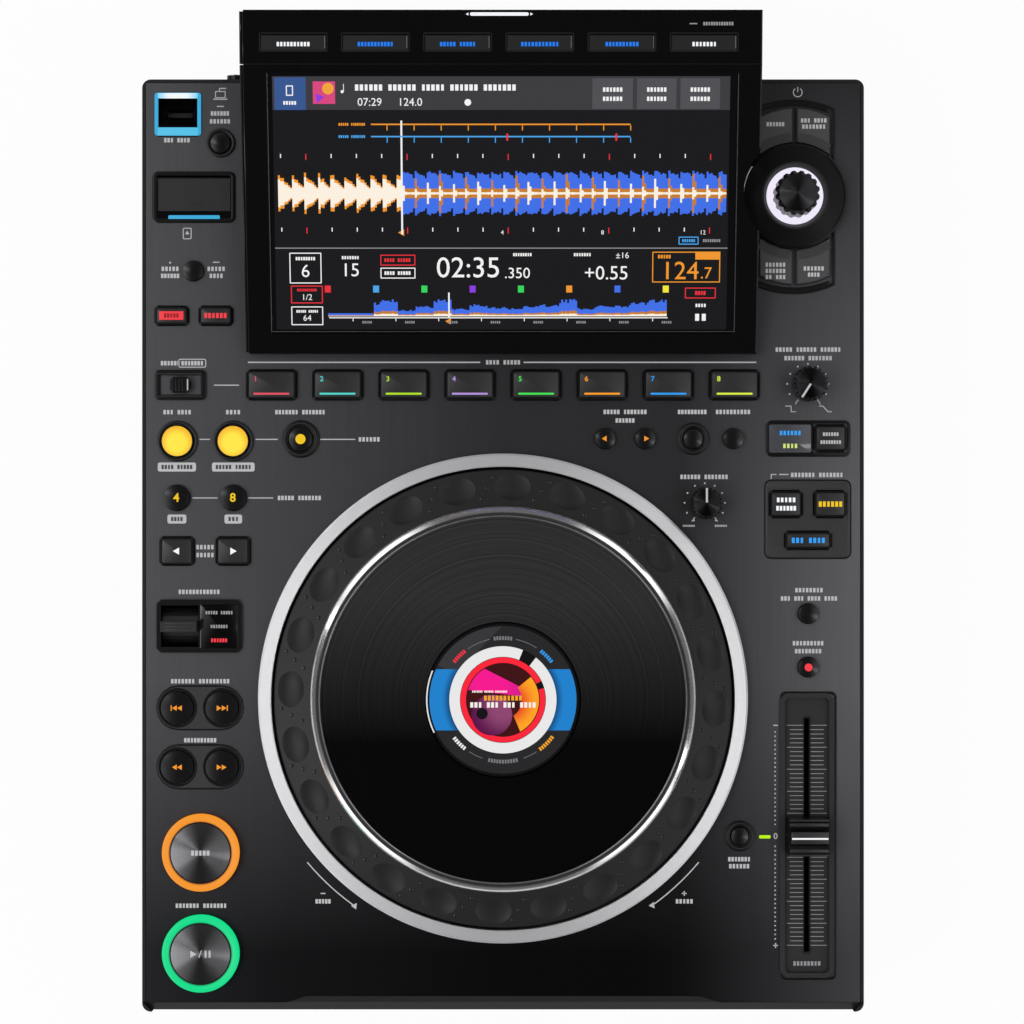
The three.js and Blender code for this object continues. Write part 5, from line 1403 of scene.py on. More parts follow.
        # A lighter field over the upper left is a painted reflection on the hub's glass.
        sheen = Bench("hub_painted_reflection", level + 0.01)
        sheen.ring(x, y, self.hub_radius - 0.1, self.band_outer, 180, (80.0, 152.0))
        bpy.ops.mesh.select_all(action="SELECT")
        sheen.slice(x - 4.9, y + 28.6, -0.716, 0.698)
        sheen.finish(pixels("hub_painted_reflection", "#343436"))
        sides = Bench("hub_side_fields", level + 0.02)
        for sector in ((-40.0, 40.0), (140.0, 220.0)):
            sides.ring(x, y, 33.2, self.band_outer, 180, sector)
        sides.trim(y - 13.8, y + 13.8)
        run = {"centre": self.centre, "edge": "#1c80cc", "edge_span": (24.0, 28.0)}
        sides.finish(pixels("hub_blue", "#0d4d82", **run))
        band = Bench("hub_white_ring", level + 0.03)
        band.ring(x, y, self.band_outer, self.band_inner, 180, (67.0, 413.0))
        # The short white arc outside the hub on the left is a painted glint on its edge.
        band.ring(x, y, 34.7, 34.1, 240, (157.0, 205.0))
        band.finish(pixels("hub_white", "#e8e8e8"))
        gaps = Bench("hub_dark_gaps", level + 0.04)
        gaps.ring(x, y, self.band_outer + 0.2, self.band_inner, 180, (53.0, 67.0))
        gaps.ring(x, y, self.band_inner, self.picture_radius, 180, (16.5, 25.5))
        gaps.ring(x, y, self.band_inner + 0.12, self.band_inner - 0.12, 180)
        gaps.finish(pixels("hub_black", "#050505"))
        red = Bench("hub_red_ring", level + 0.03).ring(x, y, self.band_inner, self.picture_radius + 0.4, 180)
        red.finish(pixels("hub_red", "#ff2238"))

    def artwork(self) -> None:
        """Draws a made-up round picture: a wedge, a crescent and a ball over a dark ground."""
        x, y = self.centre
        level = self.display_top + 0.06
        reach = self.picture_radius
        Bench("hub_art_ground", level).disc(x, y, reach + 0.4, 128).finish(pixels("hub_maroon", "#3d070b"))
        wedge = Bench("hub_art_wedge", level + 0.02).disc(x, y, reach, 128)
        wedge.slice(x - 7.0, y + 13.4, -0.45, -0.893)
        bpy.ops.mesh.select_all(action="SELECT")
        wedge.slice(x, y + 2.6, 0.12, 0.993)
        run = {"centre": (x - 6, y + 9), "edge": "#c01a86", "edge_span": (6.0, 20.0)}
        wedge.finish(pixels("hub_magenta", "#f4128f", **run))
        crescent = Bench("hub_art_crescent", level + 0.04).ring(x, y, reach, 8.6, 128, (-62.0, 38.0))
        bpy.ops.mesh.select_all(action="SELECT")
        crescent.slice(x + 4.4, y - 6.2, 0.92, 0.39)
        run = {"centre": (x + 3, y - 1), "edge": "#ffa31e", "edge_span": (4.0, 13.0)}
        crescent.finish(pixels("hub_sunset", "#e8401c", **run))
        ball = Bench("hub_art_ball", level + 0.06).disc(x - 5.0, y - 6.9, 9.2, 64)
        ball.finish(pixels("hub_plum", "#8d4470", centre=(x, y - 4), edge="#5c0c48", edge_span=(3.0, 14.0)))
        shade = Bench("hub_art_shade", level + 0.08).disc(x - 9.4, y - 6.2, 2.6, 24)
        shade.finish(pixels("hub_night", "#0a0610"))
        level += 0.1
        amber = pixels("hub_amber", "#f2a42a")
        print_rows("hub_amber_blocks", level, amber, "root", (x, y + 0.8, 17.6, 1, 2.2))
        rows = (x, y - 2.3, 30.0, 4, 2.4), (x - 6.0, y + 3.7, 16.0, 3, 0.9)
        print_rows("hub_pale_blocks", level, pixels("hub_pale", "#f6f0e8"), "root", *rows)

    def marks(self, level: float) -> None:
        """Draws the small marks round the display, turned to face its middle.

        Args:
            level: their height above the table.
        """
        for name, angles, colour, width in (
            ("grey", (90.0, 270.0), "#77777a", 8.4),
            ("red", (135.0,), "#f23040", 7.0),
            ("blue", (45.0,), "#2f9bec", 7.4),
            ("white", (225.0,), "#f2f2f2", 7.4),
            ("amber", (315.0,), "#f7a62c", 8.6),
        ):
            pen = Bench(f"hub_marks_{name}", level)
            for angle in angles:
                self.turned_legend(pen, angle, width * (1.6 if angle == 270.0 else 1.0))
            pen.finish(pixels(f"hub_mark_{name}", colour))
        lines = Bench("hub_mark_lines", level)
        for sector in ((102.0, 124.0), (56.5, 78.0), (237.0, 250.0), (290.0, 302.5)):
            lines.ring(*self.centre, 28.05, 27.8, 240, sector)
        lines.finish(pixels("hub_line_grey", "#77777a"))

    def turned_legend(self, pen: Bench, angle: float, width: float, reach: float = 27.9) -> None:
        """Draws a row of blocks along an arc.

        Args:
            pen: the bench that draws them.
            angle: where the middle of the row lies, in degrees.
            width: length of the row.
            reach: radius of the arc.
        """
        count = round(width / 1.25)
        for index in range(count):
            spoke = angle + math.degrees((index - (count - 1) / 2) * 1.25 / reach)
            pen.plate(*polar(self.centre, reach, spoke), 0.85, 1.7, turn=spoke - 90)


@dataclass
class BrowseCluster:
    """The rotary selector in its lit dish, with four keys round it."""

    reach: float = 44.4
    key_reach: float = 41.3
    half_width: float = 18.7
    band: float = 1.5
    dish: float = 23.9
    key_arcs: tuple[tuple[str, float, float], ...] = (
        ("back_key", 93.5, 126.0), ("tag_key", 54.0, 86.5),
        ("filter_key", 234.0, 266.5), ("shortcut_key", 273.5, 306.0),
    )

    def build(self) -> None:
        """Dresses the selector and its keys, and adds the lamp ring and the outlines."""
        x, y = middle("selector_dish")
        dish = POLISHED_ACRYLIC.like("satin_dish_abs", "#121213", roughness=0.3, specular=0.15)
        dress_nodes(dish, "selector_dish")
        dress_nodes(ZINC_STEEL, "selector_shaft")
        dress_nodes(DARK_ABS, "selector_knob")
        dress_nodes(CLUSTER_ABS, "back_key", "tag_key", "filter_key", "shortcut_key")
        cap = Bench("selector_cap", top("selector_knob")).disc(x, y, 8.3, 64)
        cap.finish(spun("spun_selector_cap", (x, y), "#3c3c3e"), "selector_knob", rise=0.25, bevel=0.15)
        lamp_ring = ((9.4, 83.3), (10.3, 83.32), (12.9, 84.2), (12.9, 83.4), (9.4, 83.2))
        revolve("selector_lamp_ring", lamp_ring, (x, y), lamp("lilac_white_lens", "#efe9fb"), "root")
        collar = ((13.0, 83.4), (14.35, 86.42), (15.2, 86.42), (15.2, 86.0), (13.5, 83.4))
        revolve("selector_collar", collar, (x, y), BLACK_INK, "root")
        self.outlines()
        self.key_shades()
        self.print()

    def outlines(self) -> None:
        """Adds the dark frame that follows the keys, and the painted glints on the dish's edge."""
        x, y = middle("selector_dish")
        shape = Bench("cluster_frame", DECK)
        corner = math.sqrt(self.reach**2 - self.half_width**2)
        foot = math.sqrt(self.dish**2 - self.half_width**2) + 0.4
        half = math.degrees(math.asin(self.half_width / self.reach))
        for side in (-1, 1):
            shape.ring(x, y, self.reach, self.reach - self.band, 160, (90 * side - half, 90 * side + half))
            for end in (-1, 1):
                shape.plate(x + side * (self.half_width - self.band / 2), y + end * (corner + foot) / 2,
                            self.band, corner - foot)
        shape.finish(DARK_ABS, rise=0.7, bevel=0.25)
        ends = Bench("cluster_frame_ends", DECK)
        for sector in ((66.5, 113.5), (246.5, 293.5)):
            ends.ring(x, y, self.reach - self.band + 0.2, self.key_reach, 160, sector)
        ends.finish(DARK_ABS, rise=0.6, bevel=0.2)
        # Bright arcs on the dish's edge are painted glints, bright on the left and dim on the right.
        for name, outer, inner, sector, finish in (
            ("dish_painted_glint", 23.9, 23.35, (146.0, 207.0), THIN_EDGE),
            ("dish_painted_dim_glint", 23.2, 22.9, (-42.0, 52.0), THIN_EDGE.like("painted_dim_glint_trim", "#38383b")),
        ):
            Bench(name, 85.6).ring(x, y, outer, inner, 180, sector).finish(finish, rise=0.75, bevel=0.1)

    def key_shades(self) -> None:
        """Paints a darker band, the shade of the hollow where each key bends down to the dish."""
        x, y = middle("selector_dish")
        # Painted shade: a darker flat band stands for the shade in each key's hollow.
        hollow = CLUSTER_ABS.like("key_abs_painted_hollow_shade", "#343436")
        for node, first, last in self.key_arcs:
            band = Bench(f"{node}_hollow", top(node)).ring(x, y, 28.8, self.dish + 0.7, 180, (first, last))
            band.finish(hollow, node, rise=0.05)

    def print(self) -> None:
        """Prints the keys' block legends, each riding with its key."""
        for node, lines in (
            ("back_key", ((-0.6, 8.4, 1),)),
            ("tag_key", ((1.1, 12.0, 2), (-1.7, 11.0, 1))),
            ("filter_key", ((2.2, 9.4, 1), (-0.6, 9.4, 1), (-3.4, 9.4, 2))),
            ("shortcut_key", ((0.5, 9.6, 1), (-2.3, 5.6, 1))),
        ):
            x, y = middle(node)
            shift = 4.6 if y > middle("selector_dish")[1] else -4.6
            rows = ((x, y + shift + rise, width, parts, 1.9) for rise, width, parts in lines)
            print_rows(f"{node}_print", top(node) + 0.03, WHITE_INK, node, *rows)


@dataclass
class KeyCaps:
    """What stands on and round the keys: raised faces, small domes and black rims."""

    gap: float = 0.4
    proud: float = 0.9
    border: float = 1.25
    face_rise: float = 0.2
    dome_rise: float = 0.5
    top: float = 81.8
    faces: tuple[tuple[str | float, ...], ...] = (
        ("beat_keys", -148.5, -15.0, 15.6, 13.0), ("beat_keys", -122.9, -15.0, 15.6, 13.0),
        ("mode_keys", -150.9, 92.2, 15.3, 8.8), ("mode_keys", -130.8, 92.2, 15.3, 8.8),
        ("jog_mode_key", 149.1, 36.4, 15.0, 12.4), ("beat_sync_key", 128.8, 6.4, 15.0, 12.4),
        ("master_key", 149.0, 6.4, 15.0, 12.4), ("key_sync_key", 138.9, -10.1, 21.3, 8.3),
    )
    domes: tuple[tuple[str | float, ...], ...] = (
        ("mode_keys", -128.6, 170.9, 4.4), ("mode_keys", -141.1, 112.6, 4.6), ("call_keys", 46.6, 36.2, 4.6),
        ("call_keys", 64.8, 36.2, 4.6), ("call_keys", 86.6, 36.2, 4.2), ("call_keys", 104.9, 36.2, 4.6),
        ("tempo_keys", 139.0, -43.5, 4.6), ("tempo_keys", 139.0, -67.9, 4.6),
        ("tempo_keys", 107.8, -144.8, 3.8), ("reloop", -92.1, 36.0, 5.3), ("beat_keys", -148.6, 9.2, 5.9),
        ("beat_keys", -122.9, 9.2, 5.9), ("search_keys", -148.3, -86.4, 7.4),
        ("search_keys", -128.0, -86.4, 7.4), ("search_keys", -148.3, -113.3, 7.4),
        ("search_keys", -128.0, -113.3, 7.4),
    )
    rims: Rows = (
        (-128.6, 170.9, 4.6, 6.65), (86.6, 36.2, 4.6, 7.4), (107.8, -144.8, 4.0, 7.0),
        (-148.3, 35.1, 7.3, 9.3), (-122.9, 35.1, 7.3, 9.3), (-92.1, 36.0, 5.5, 8.6),
    )

    def build(self) -> None:
        """Builds the faces and domes on each key, and the rims as one piece."""
        dress_nodes(DARK_ABS, "mode_keys", "call_keys", "tempo_keys", "beat_keys", "search_keys", "reloop")
        dress_nodes(DARK_ABS, "jog_mode_key", "beat_sync_key", "master_key", "key_sync_key")
        for node in {spot[0]: None for spot in self.faces}:
            plates = Bench(f"{node}_faces", self.top)
            for _, x, y, width, depth in (spot for spot in self.faces if spot[0] == node):
                plates.plate(x, y, width - 2 * self.border, depth - 2 * self.border, 0.8)
            plates.finish(KEY_FACE, node, rise=self.face_rise, bevel=0.1)
        for index, (node, x, y, radius) in enumerate(self.domes, 1):
            profile = dome(radius, self.top, self.dome_rise, 0.2)
            revolve(f"{node}_dome_{index}", profile, (x, y), DOME_ABS, node, 48, closed=False)
        rims = Bench("key_rims")
        for x, y, radius, outer in self.rims:
            rims.ring(x, y, outer, radius + self.gap, 48)
        rims.finish(DARK_ABS, rise=self.proud, bevel=0.35)
        steps = Bench("key_rim_steps", DECK + self.proud)
        for x, y, radius, outer in self.rims:
            band = (outer + radius) / 2
            steps.ring(x, y, band + 0.5, band, 48)
        steps.finish(KEY_FACE, rise=0.12, bevel=0.04)


@dataclass
class HotPads:
    """Eight pads, each with a number and a lit line of its own colour."""

    width: float = 22.7
    depth: float = 13.7
    border: float = 1.25
    face_rise: float = 0.2
    line_width: float = 16.4
    line_drop: float = 4.1
    number_height: float = 2.4

    def build(self) -> None:
        """Dresses the pads and lights their lines and numbers."""
        for index, colour in enumerate(PAD_COLOURS, 1):
            node = f"pad_{index}"
            dress_nodes(DARK_ABS, node)
            x, y = middle(node)
            face = Bench(f"{node}_face", top(node))
            face.plate(x, y, self.width - 2 * self.border, self.depth - 2 * self.border, 0.8)
            face.finish(KEY_FACE, node, rise=self.face_rise, bevel=0.1)
            lens = Bench(f"{node}_light", top(node) + self.face_rise + 0.02)
            lens.plate(x, y - self.line_drop, self.line_width, 0.9, 0.4)
            lens.glyphs(str(index), x - 7.2, y + 2.6, self.number_height, 0.05)
            lens.finish(lamp(f"{node}_lens", colour), node)


@dataclass
class MediaBay:
    """The memory stick well, the card bay with its flap and the keys beside them."""

    stick: Point = (-148.1, 184.0)
    card: Point = (-140.8, 146.25)

    def build(self) -> None:
        """Dresses the bay and adds its lamps, outlines and the stick socket's tongue."""
        dress_nodes(POLISHED_ACRYLIC, "media_bay")
        dress_nodes(KEY_ABS.like("flap_abs", "#202022"), "card_flap")
        dress_nodes(DARK_ABS, "cue_switch")
        self.stick_lamp()
        self.card_trims()
        self.mode_keys()
        self.cue_switch()

    def stick_lamp(self) -> None:
        """Adds the blue light frame round the stick well, its bright rear bar and the socket."""
        x, y = self.stick
        level = top("media_bay")
        border = Bench("stick_well_lamp", level).frame(x, y, 21.2, 19.6, 1.7, 1.4)
        border.finish(SKY_LENS, rise=0.15, bevel=0.05)
        sill = Bench("stick_well_sill", level - 0.5).plate(x, y - 7.9, 18.4, 3.7, 0.5)
        sill.finish(lamp("pale_blue_lens", "#55bfe6"), rise=0.72, bevel=0.1)
        bar = Bench("stick_well_bright_bar", level - 0.5).plate(x, y + 8.4, 18.2, 2.4, 0.6)
        run = {"centre": (x, y + 9.0), "edge": "#6fd0f2", "edge_span": (3.0, 10.5)}
        bar.finish(lamp("glowing_blue_lens", "#f4fdff", **run), rise=0.75, bevel=0.1)
        tongue = Bench("stick_socket_tongue", 65.6).plate(x, 184.8, 11.6, 2.2, 0.2)
        tongue.finish(BLACK_INK, rise=5.0, bevel=0.2)
        shell = Bench("stick_socket_shell", 65.5).frame(x, 184.8, 13.6, 6.2, 0.4, 0.6)
        steel = ZINC_STEEL.like("dark_socket_steel", "#1c1c1e")
        shell.finish(steel, rise=6.0, bevel=0.1, slot="steel_parts")

    def card_trims(self) -> None:
        """Adds the card bay's outline and the lamp bar in front of its flap."""
        x, y = self.card
        level = top("media_bay")
        Bench("card_bay_lip", DECK).frame(x, y, 37.6, 23.1, 1.8, 2.4).finish(DARK_ABS, rise=0.75, bevel=0.3)
        bar = Bench("card_lamp", level).plate(-140.7, y - 9.3, 23.4, 2.0, 0.5)
        bar.finish(SKY_LENS, rise=0.12, bevel=0.04)
        grip = Bench("card_flap_grip", top("card_flap"))
        for step in range(3):
            grip.plate(-140.8, 142.0 + 1.1 * step, 9.0, 0.4, 0.15)
        grip.finish(KEY_ABS, "card_flap", rise=0.15, bevel=0.04, slot="key_plastic")

    def mode_keys(self) -> None:
        """Lights the two mode keys red and prints blocks on them."""
        level = FACE_TOP
        lens = Bench("mode_key_lenses", level)
        lens.plate(-150.9, 92.2, 11.0, 3.9, 0.3)
        lens.legend(-130.8, 92.2, 10.6, 1, 2.3)
        lens.finish(RED_LENS, "mode_keys", rise=0.1, bevel=0.03)
        dark = RED_LENS.like("dark_red_lens", "#8c1c22")
        print_rows("mode_key_print", level + 0.13, dark, "mode_keys", (-150.9, 92.2, 7.0, 1, 1.9))

    def cue_switch(self) -> None:
        """Adds the slide switch's frame, its grooves as flat black strips of painted shade, and the mark that
        it uncovers.
        """
        x, y = -146.95, 60.65
        Bench("cue_switch_frame").frame(x, y, 23.3, 13.7, 2.4, 2.0).finish(DARK_ABS, rise=1.0, bevel=0.3)
        # Flat black strips paint the shade of the frame's two grooves.
        grooves = Bench("cue_switch_groove_shade", DECK + 1.02)
        for side in (-1, 1):
            grooves.plate(x, y + 5.1 * side, 20.0, 0.6)
        grooves.finish(BLACK_INK)
        mark = Bench("cue_switch_mark", top("cue_switch") + 0.38).plate(-143.2, y, 0.55, 5.0)
        mark.finish(WHITE_INK, "cue_switch")
        ribs = Bench("cue_switch_ribs", top("cue_switch"))
        for step in range(-2, 2):
            ribs.plate(-146.9 + 1.5 * step, 60.6, 0.6, 6.2)
        ribs.finish(DARK_ABS, "cue_switch", rise=0.35, bevel=0.1, slot="key_plastic")


@dataclass
class Transport:
    """Loop, jump, direction, search, cue and play controls of the left column."""

    loop_radius: float = 6.85
    disc_radius: float = 13.5
    search_rows: tuple[float, float] = (-86.4, -113.3)
    search_columns: tuple[float, float] = (-148.3, -128.0)

    def build(self) -> None:
        """Dresses the left column's keys and adds their lamps and signs."""
        self.loops()
        self.beats()
        self.direction()
        self.search()
        self.large_key("cue_button", ORANGE_LENS, "#7a3c10")
        self.large_key("play_button", GREEN_LENS, "#04583c")
        self.signs()

    def loops(self) -> None:
        """Lights both loop keys, brightest in the middle, and the dot on the third."""
        for node in ("loop_in", "loop_out"):
            x, y = middle(node)
            run = {"centre": (x, y - 0.8), "edge": "#f6b324", "edge_span": (3.2, 8.0)}
            glow = lamp(f"{node}_lens", "#ffe747", 0.03, **run)
            dress_nodes(DARK_ABS, node)
            profile = dome(self.loop_radius, top(node), 0.45, 0.1)
            revolve(f"{node}_dome", profile, (x, y), glow, node, 64, closed=False)
        dot = Bench("reloop_dot", top("reloop") + 0.36).disc(*middle("reloop"), 2.3, 32)
        dot.finish(YELLOW_LENS, "reloop", rise=0.2, bevel=0.1)

    def beats(self) -> None:
        """Writes the loop lengths and the two jump arrows."""
        digits = Bench("beat_loop_digits", DOME_TOP + 0.04)
        digits.glyphs("4", -148.6, 9.2, 4.0, 0.12)
        digits.glyphs("8", -122.9, 9.2, 4.0, 0.12)
        digits.finish(YELLOW_LENS, "beat_keys")
        arrows = Bench("beat_jump_arrows", FACE_TOP + 0.03)
        arrows.arrow(-148.3, -15.0, 1.9, 180)
        arrows.arrow(-123.1, -15.0, 1.9, 0)
        arrows.finish(WHITE_LENS, "beat_keys")

    def direction(self) -> None:
        """Dresses the direction lever, its bezel and the three stacked marks beside it."""
        dress_nodes(DARK_ABS, "direction_bezel")
        dress_nodes(KEY_ABS.like("lever_abs", "#1d1d1f"), "direction_lever")
        level = top("direction_bezel")
        window = Bench("direction_window", level).plate(-129.2, -49.2, 17.2, 20.0, 0.6)
        window.finish(POLISHED_ACRYLIC.like("smoked_window"), rise=0.12, bevel=0.04)
        rows = (-129.2, -43.0, 12.6, 2, 1.5), (-129.2, -49.3, 8.0, 1, 1.5)
        print_rows("direction_marks", level + 0.16, GREY_INK, "root", *rows)
        print_rows("direction_lit_mark", level + 0.16, RED_LENS, "root", (-129.2, -55.6, 7.6, 1, 1.7))
        ribs = Bench("direction_lever_ribs", top("direction_lever"))
        for step in range(3):
            ribs.plate(-147.1, -50.6 + 1.45 * step, 12.0, 0.5, 0.15)
        finish = KEY_ABS.like("lever_rib_abs", "#333336")
        ribs.finish(finish, "direction_lever", rise=0.2, bevel=0.06, slot="key_plastic")

    def search(self) -> None:
        """Adds the rounded plates under the search keys, their dark outlines with rings of painted shadow
        round the keys, and the keys' signs.
        """
        x = sum(self.search_columns) / 2
        for row, name in zip(self.search_rows, ("track_search_plate", "search_plate"), strict=True):
            piece = Bench(name).plate(x, row, 38.8, 19.4, 9.6).finish(PANEL_ABS, rise=0.5, bevel=0.2)
            pierce(piece, [(column, row, 8.8) for column in self.search_columns])
            rim = Bench(f"{name}_line").frame(x, row, 40.0, 20.6, 0.7, 10.2)
            # The dark rings round the keys paint the shadow in the gap round each key.
            for column in self.search_columns:
                rim.ring(column, row, 9.1, 7.9)
            rim.finish(DARK_ABS, rise=0.6, bevel=0.15)
        signs = Bench("search_signs", DOME_TOP + 0.04)
        left, right = self.search_columns
        for column, side, turn in ((left, -1, 180), (right, 1, 0)):
            for row in self.search_rows:
                signs.arrow(column - 1.5 * side, row, 1.45, turn)
                signs.arrow(column + 0.8 * side, row, 1.45, turn)
                if row == self.search_rows[0]:
                    signs.plate(column + 2.6 * side, row, 0.5, 2.5)
        signs.finish(ORANGE_LENS, "search_keys")

    def large_key(self, node: str, lens: Finish, inner: str) -> None:
        """Adds the lit ring and the spun disc of one large key.

        Args:
            node: the key's node.
            lens: the ring's lit finish.
            inner: sRGB hex of the ring's inner edge, which is dimmer.
        """
        x, y = middle(node)
        level = top(node)
        dress_nodes(DARK_ABS, node)
        ring = (
            (17.6, 80.3), (17.6, level - 0.5), (17.2, level + 0.3), (16.2, level + 0.75), (15.0, level + 0.6),
            (14.1, level + 0.1), (13.9, level - 0.5), (17.0, level - 0.9), (17.0, 80.3),
        )
        shaded = lens.like(f"{node}_lens", inner, centre=(x, y), edge=lens.colour, edge_span=(13.7, 15.0))
        revolve(f"{node}_lit_ring", ring, (x, y), shaded, node, 120)
        disc = Bench(f"{node}_disc", level).disc(x, y, self.disc_radius, 96)
        disc.finish(spun(f"spun_{node}", (x, y)), node, rise=0.3, bevel=0.12, slot="spun_metal")

    def signs(self) -> None:
        """Prints the play and pause sign, and a block legend on the cue key."""
        x, y = middle("play_button")
        level = top("play_button") + 0.34
        sign = Bench("play_pause_sign", level)
        sign.arrow(x - 3.6, y, 1.9, 0)
        sign.plate(x - 0.1, y, 0.45, 3.6, turn=-20)
        sign.plate(x + 2.4, y, 0.9, 3.2)
        sign.plate(x + 4.2, y, 0.9, 3.2)
        sign.finish(WHITE_INK, "play_button")
        x, y = middle("cue_button")
        print_rows("cue_legend", top("cue_button") + 0.34, WHITE_INK, "cue_button", (x, y, 8.8, 1, 2.3))


@dataclass
class RightColumn:
    """Knobs, mode and sync keys, tempo keys and the fader."""

    panel_left: float = 119.8
    panel_right: float = 158.2
    tick_first: float = -194.7
    tick_last: float = -94.4
    ticks: int = 51
    middle: float = -144.5
    slot_at: float = 138.5
    scale_at: float = 124.2
    plate_top: float = 79.4

    def build(self) -> None:
        """Dresses the right column and adds its panels, lamps and scale."""
        dress_nodes(DARK_ABS, "speed_knob", "jog_adjust_knob", "tempo_fader_cap")
        dress_nodes(PANEL_ABS.like("fader_plate_abs", "#1b1b1d"), "fader_plate")
        self.knob("speed_knob", 7.7, -123.0)
        self.knob("jog_adjust_knob", 7.0, 90.0)
        self.mode_panel()
        self.sync_panel()
        self.small_keys()
        self.fader()

    def knob(self, node: str, radius: float, angle: float) -> None:
        """Adds the ribs, spun top and white pointer of one knob.

        Args:
            node: the knob's node.
            radius: its radius.
            angle: where its pointer shows, in degrees.
        """
        x, y = middle(node)
        level = top(node)
        ribs = Bench(f"{node}_ribs", 81.2)
        for turn in range(0, 360, 18):
            ribs.plate(*polar((x, y), radius - 0.12, turn), 0.7, 0.8, turn=turn)
        ribs.finish(DARK_ABS, node, rise=level - 83.2, bevel=0.12)
        cap = Bench(f"{node}_cap", level).disc(x, y, radius - 1.2, 64)
        cap.finish(spun(f"spun_{node}", (x, y), "#2b2b2d"), node, rise=0.12, bevel=0.05)
        hand = Bench(f"{node}_pointer", level + 0.16)
        hand.plate(*polar((x, y), (radius + 0.3) / 2, angle), radius - 0.5, 0.95, turn=angle)
        hand.finish(WHITE_INK, node)

    def mode_panel(self) -> None:
        """Adds the wheel mode panel: a frame, a grey window with two lit marks, the key's print."""
        y = 36.25
        x = (self.panel_left + self.panel_right) / 2
        piece = Bench("mode_panel").plate(x, y, 38.6, 16.6, 2.8).finish(DARK_ABS, rise=0.6, bevel=0.2)
        pierce(piece, [(149.1, 36.4, 16.0, 13.4, 1.2)])
        window = Bench("mode_window", DECK + 0.6).plate(130.8, y, 19.0, 12.8, 0.8)
        window.finish(GLASS_COVER.like("grey_window", "#4f5055"), rise=0.1, bevel=0.03)
        lit = DECK + 0.75
        print_rows("mode_mark_blue", lit, BLUE_LENS, "root", (130.8, 38.8, 10.0, 1, 2.0))
        lime = lamp("pale_lime_lens", "#cfe27c")
        print_rows("mode_mark_lime", lit, lime, "root", (130.8, 32.9, 7.0, 1, 2.0))
        rows = (149.1, 38.2, 7.4, 1, 1.6), (149.1, 34.6, 9.6, 1, 1.6)
        print_rows("mode_key_legend", top("jog_mode_key") + 0.23, WHITE_INK, "jog_mode_key", *rows)

    def sync_panel(self) -> None:
        """Adds the sync panel, its key frames and the keys' lit print."""
        x, y = 138.85, -0.5
        piece = Bench("sync_panel").plate(x, y, 38.5, 35.0, 2.8).finish(PANEL_ABS, rise=0.4, bevel=0.15)
        keys = (
            (*middle("beat_sync_key"), 15.0, 12.4), (*middle("master_key"), 15.0, 12.4),
            (*middle("key_sync_key"), 21.3, 8.3),
        )
        pierce(piece, [(kx, ky, w + 0.8, d + 0.8, 1.2) for kx, ky, w, d in keys])
        Bench("sync_panel_line").frame(x, y, 39.8, 36.3, 0.7, 3.2).finish(DARK_ABS, rise=0.3, bevel=0.08)
        for name, node, lens, lines in (
            ("beat_sync_legend", "beat_sync_key", WHITE_LENS, ((1.9, 9.0, 1, 2.1), (-1.9, 9.4, 1, 2.1))),
            ("master_blocks", "master_key", YELLOW_LENS, ((0.0, 11.2, 1, 2.4),)),
            ("key_sync_blocks", "key_sync_key", BLUE_LENS, ((0.0, 15.6, 2, 2.4),)),
        ):
            x, y = middle(node)
            rows = ((x, y + rise, *rest) for rise, *rest in lines)
            print_rows(name, top(node) + 0.23, lens, node, *rows)

    def small_keys(self) -> None:
        """Adds the signs on the call keys, the tempo lamp and the reset lamp."""
        arrows = Bench("call_key_arrows", DOME_TOP + 0.04)
        arrows.arrow(46.4, 36.2, 1.5, 180)
        arrows.arrow(65.0, 36.2, 1.5, 0)
        arrows.finish(ORANGE_LENS, "call_keys")
        dot = Bench("master_tempo_dot", DOME_TOP - 0.06).disc(139.0, -67.9, 1.8, 32)
        dot.finish(RED_LENS, "tempo_keys", rise=0.15, bevel=0.06)
        bar = Bench("tempo_reset_lamp").plate(119.3, -145.2, 5.2, 1.5, 0.4)
        bar.finish(LIME_LENS, rise=0.3, bevel=0.1)

    def tick(self, index: float) -> float:
        """Gives the place of a tick along the slot, or of a spot between two."""
        return self.tick_first + (self.tick_last - self.tick_first) * index / (self.ticks - 1)

    def fader(self) -> None:
        """Prints the fader's scale on both sides of its slot and trims its cap and plate."""
        x = self.slot_at
        floor = self.plate_top + 0.04
        marks = Bench("fader_ticks", floor)
        for index in range(self.ticks):
            length = 6.0 if index % 5 else 7.4
            band = 0.5 if index == self.ticks // 2 else 0.28
            for side in (-1, 1):
                marks.plate(x + side * (1.7 + length / 2), self.tick(index), length, band)
        marks.finish(GREY_INK)
        edge = Bench("fader_slot_edge", floor).frame(x, self.middle, 3.0, 108.0, 0.3, 0.4)
        edge.finish(DARK_ABS, rise=0.25)
        line = Bench("fader_line").frame(x + 0.6, -144.7, 25.9, 131.4, 1.3, 2.6)
        line.finish(DARK_ABS, rise=0.5, bevel=0.2)
        print_rows("fader_print", floor, GREY_INK, "root", (x, -203.0, 12.8, 1, 2.0))
        scale = Bench("tempo_scale", DECK + 0.04)
        for index in range(2, self.ticks - 1):
            y = self.tick(index - 0.5)
            if abs(y - self.middle) > 4.0:
                scale.plate(self.scale_at - 0.2, y, 0.65, 0.6)
        low, high = self.tick_first, self.tick_last
        for y, width, depth in ((high, 2.2, 0.5), (low, 2.2, 0.5), (low, 0.5, 2.2)):
            scale.plate(self.scale_at, y, width, depth)
        scale.glyphs("0", self.scale_at, self.middle - 0.5, 2.8, 0.05)
        scale.finish(WHITE_INK)
        self.fader_cap(x)

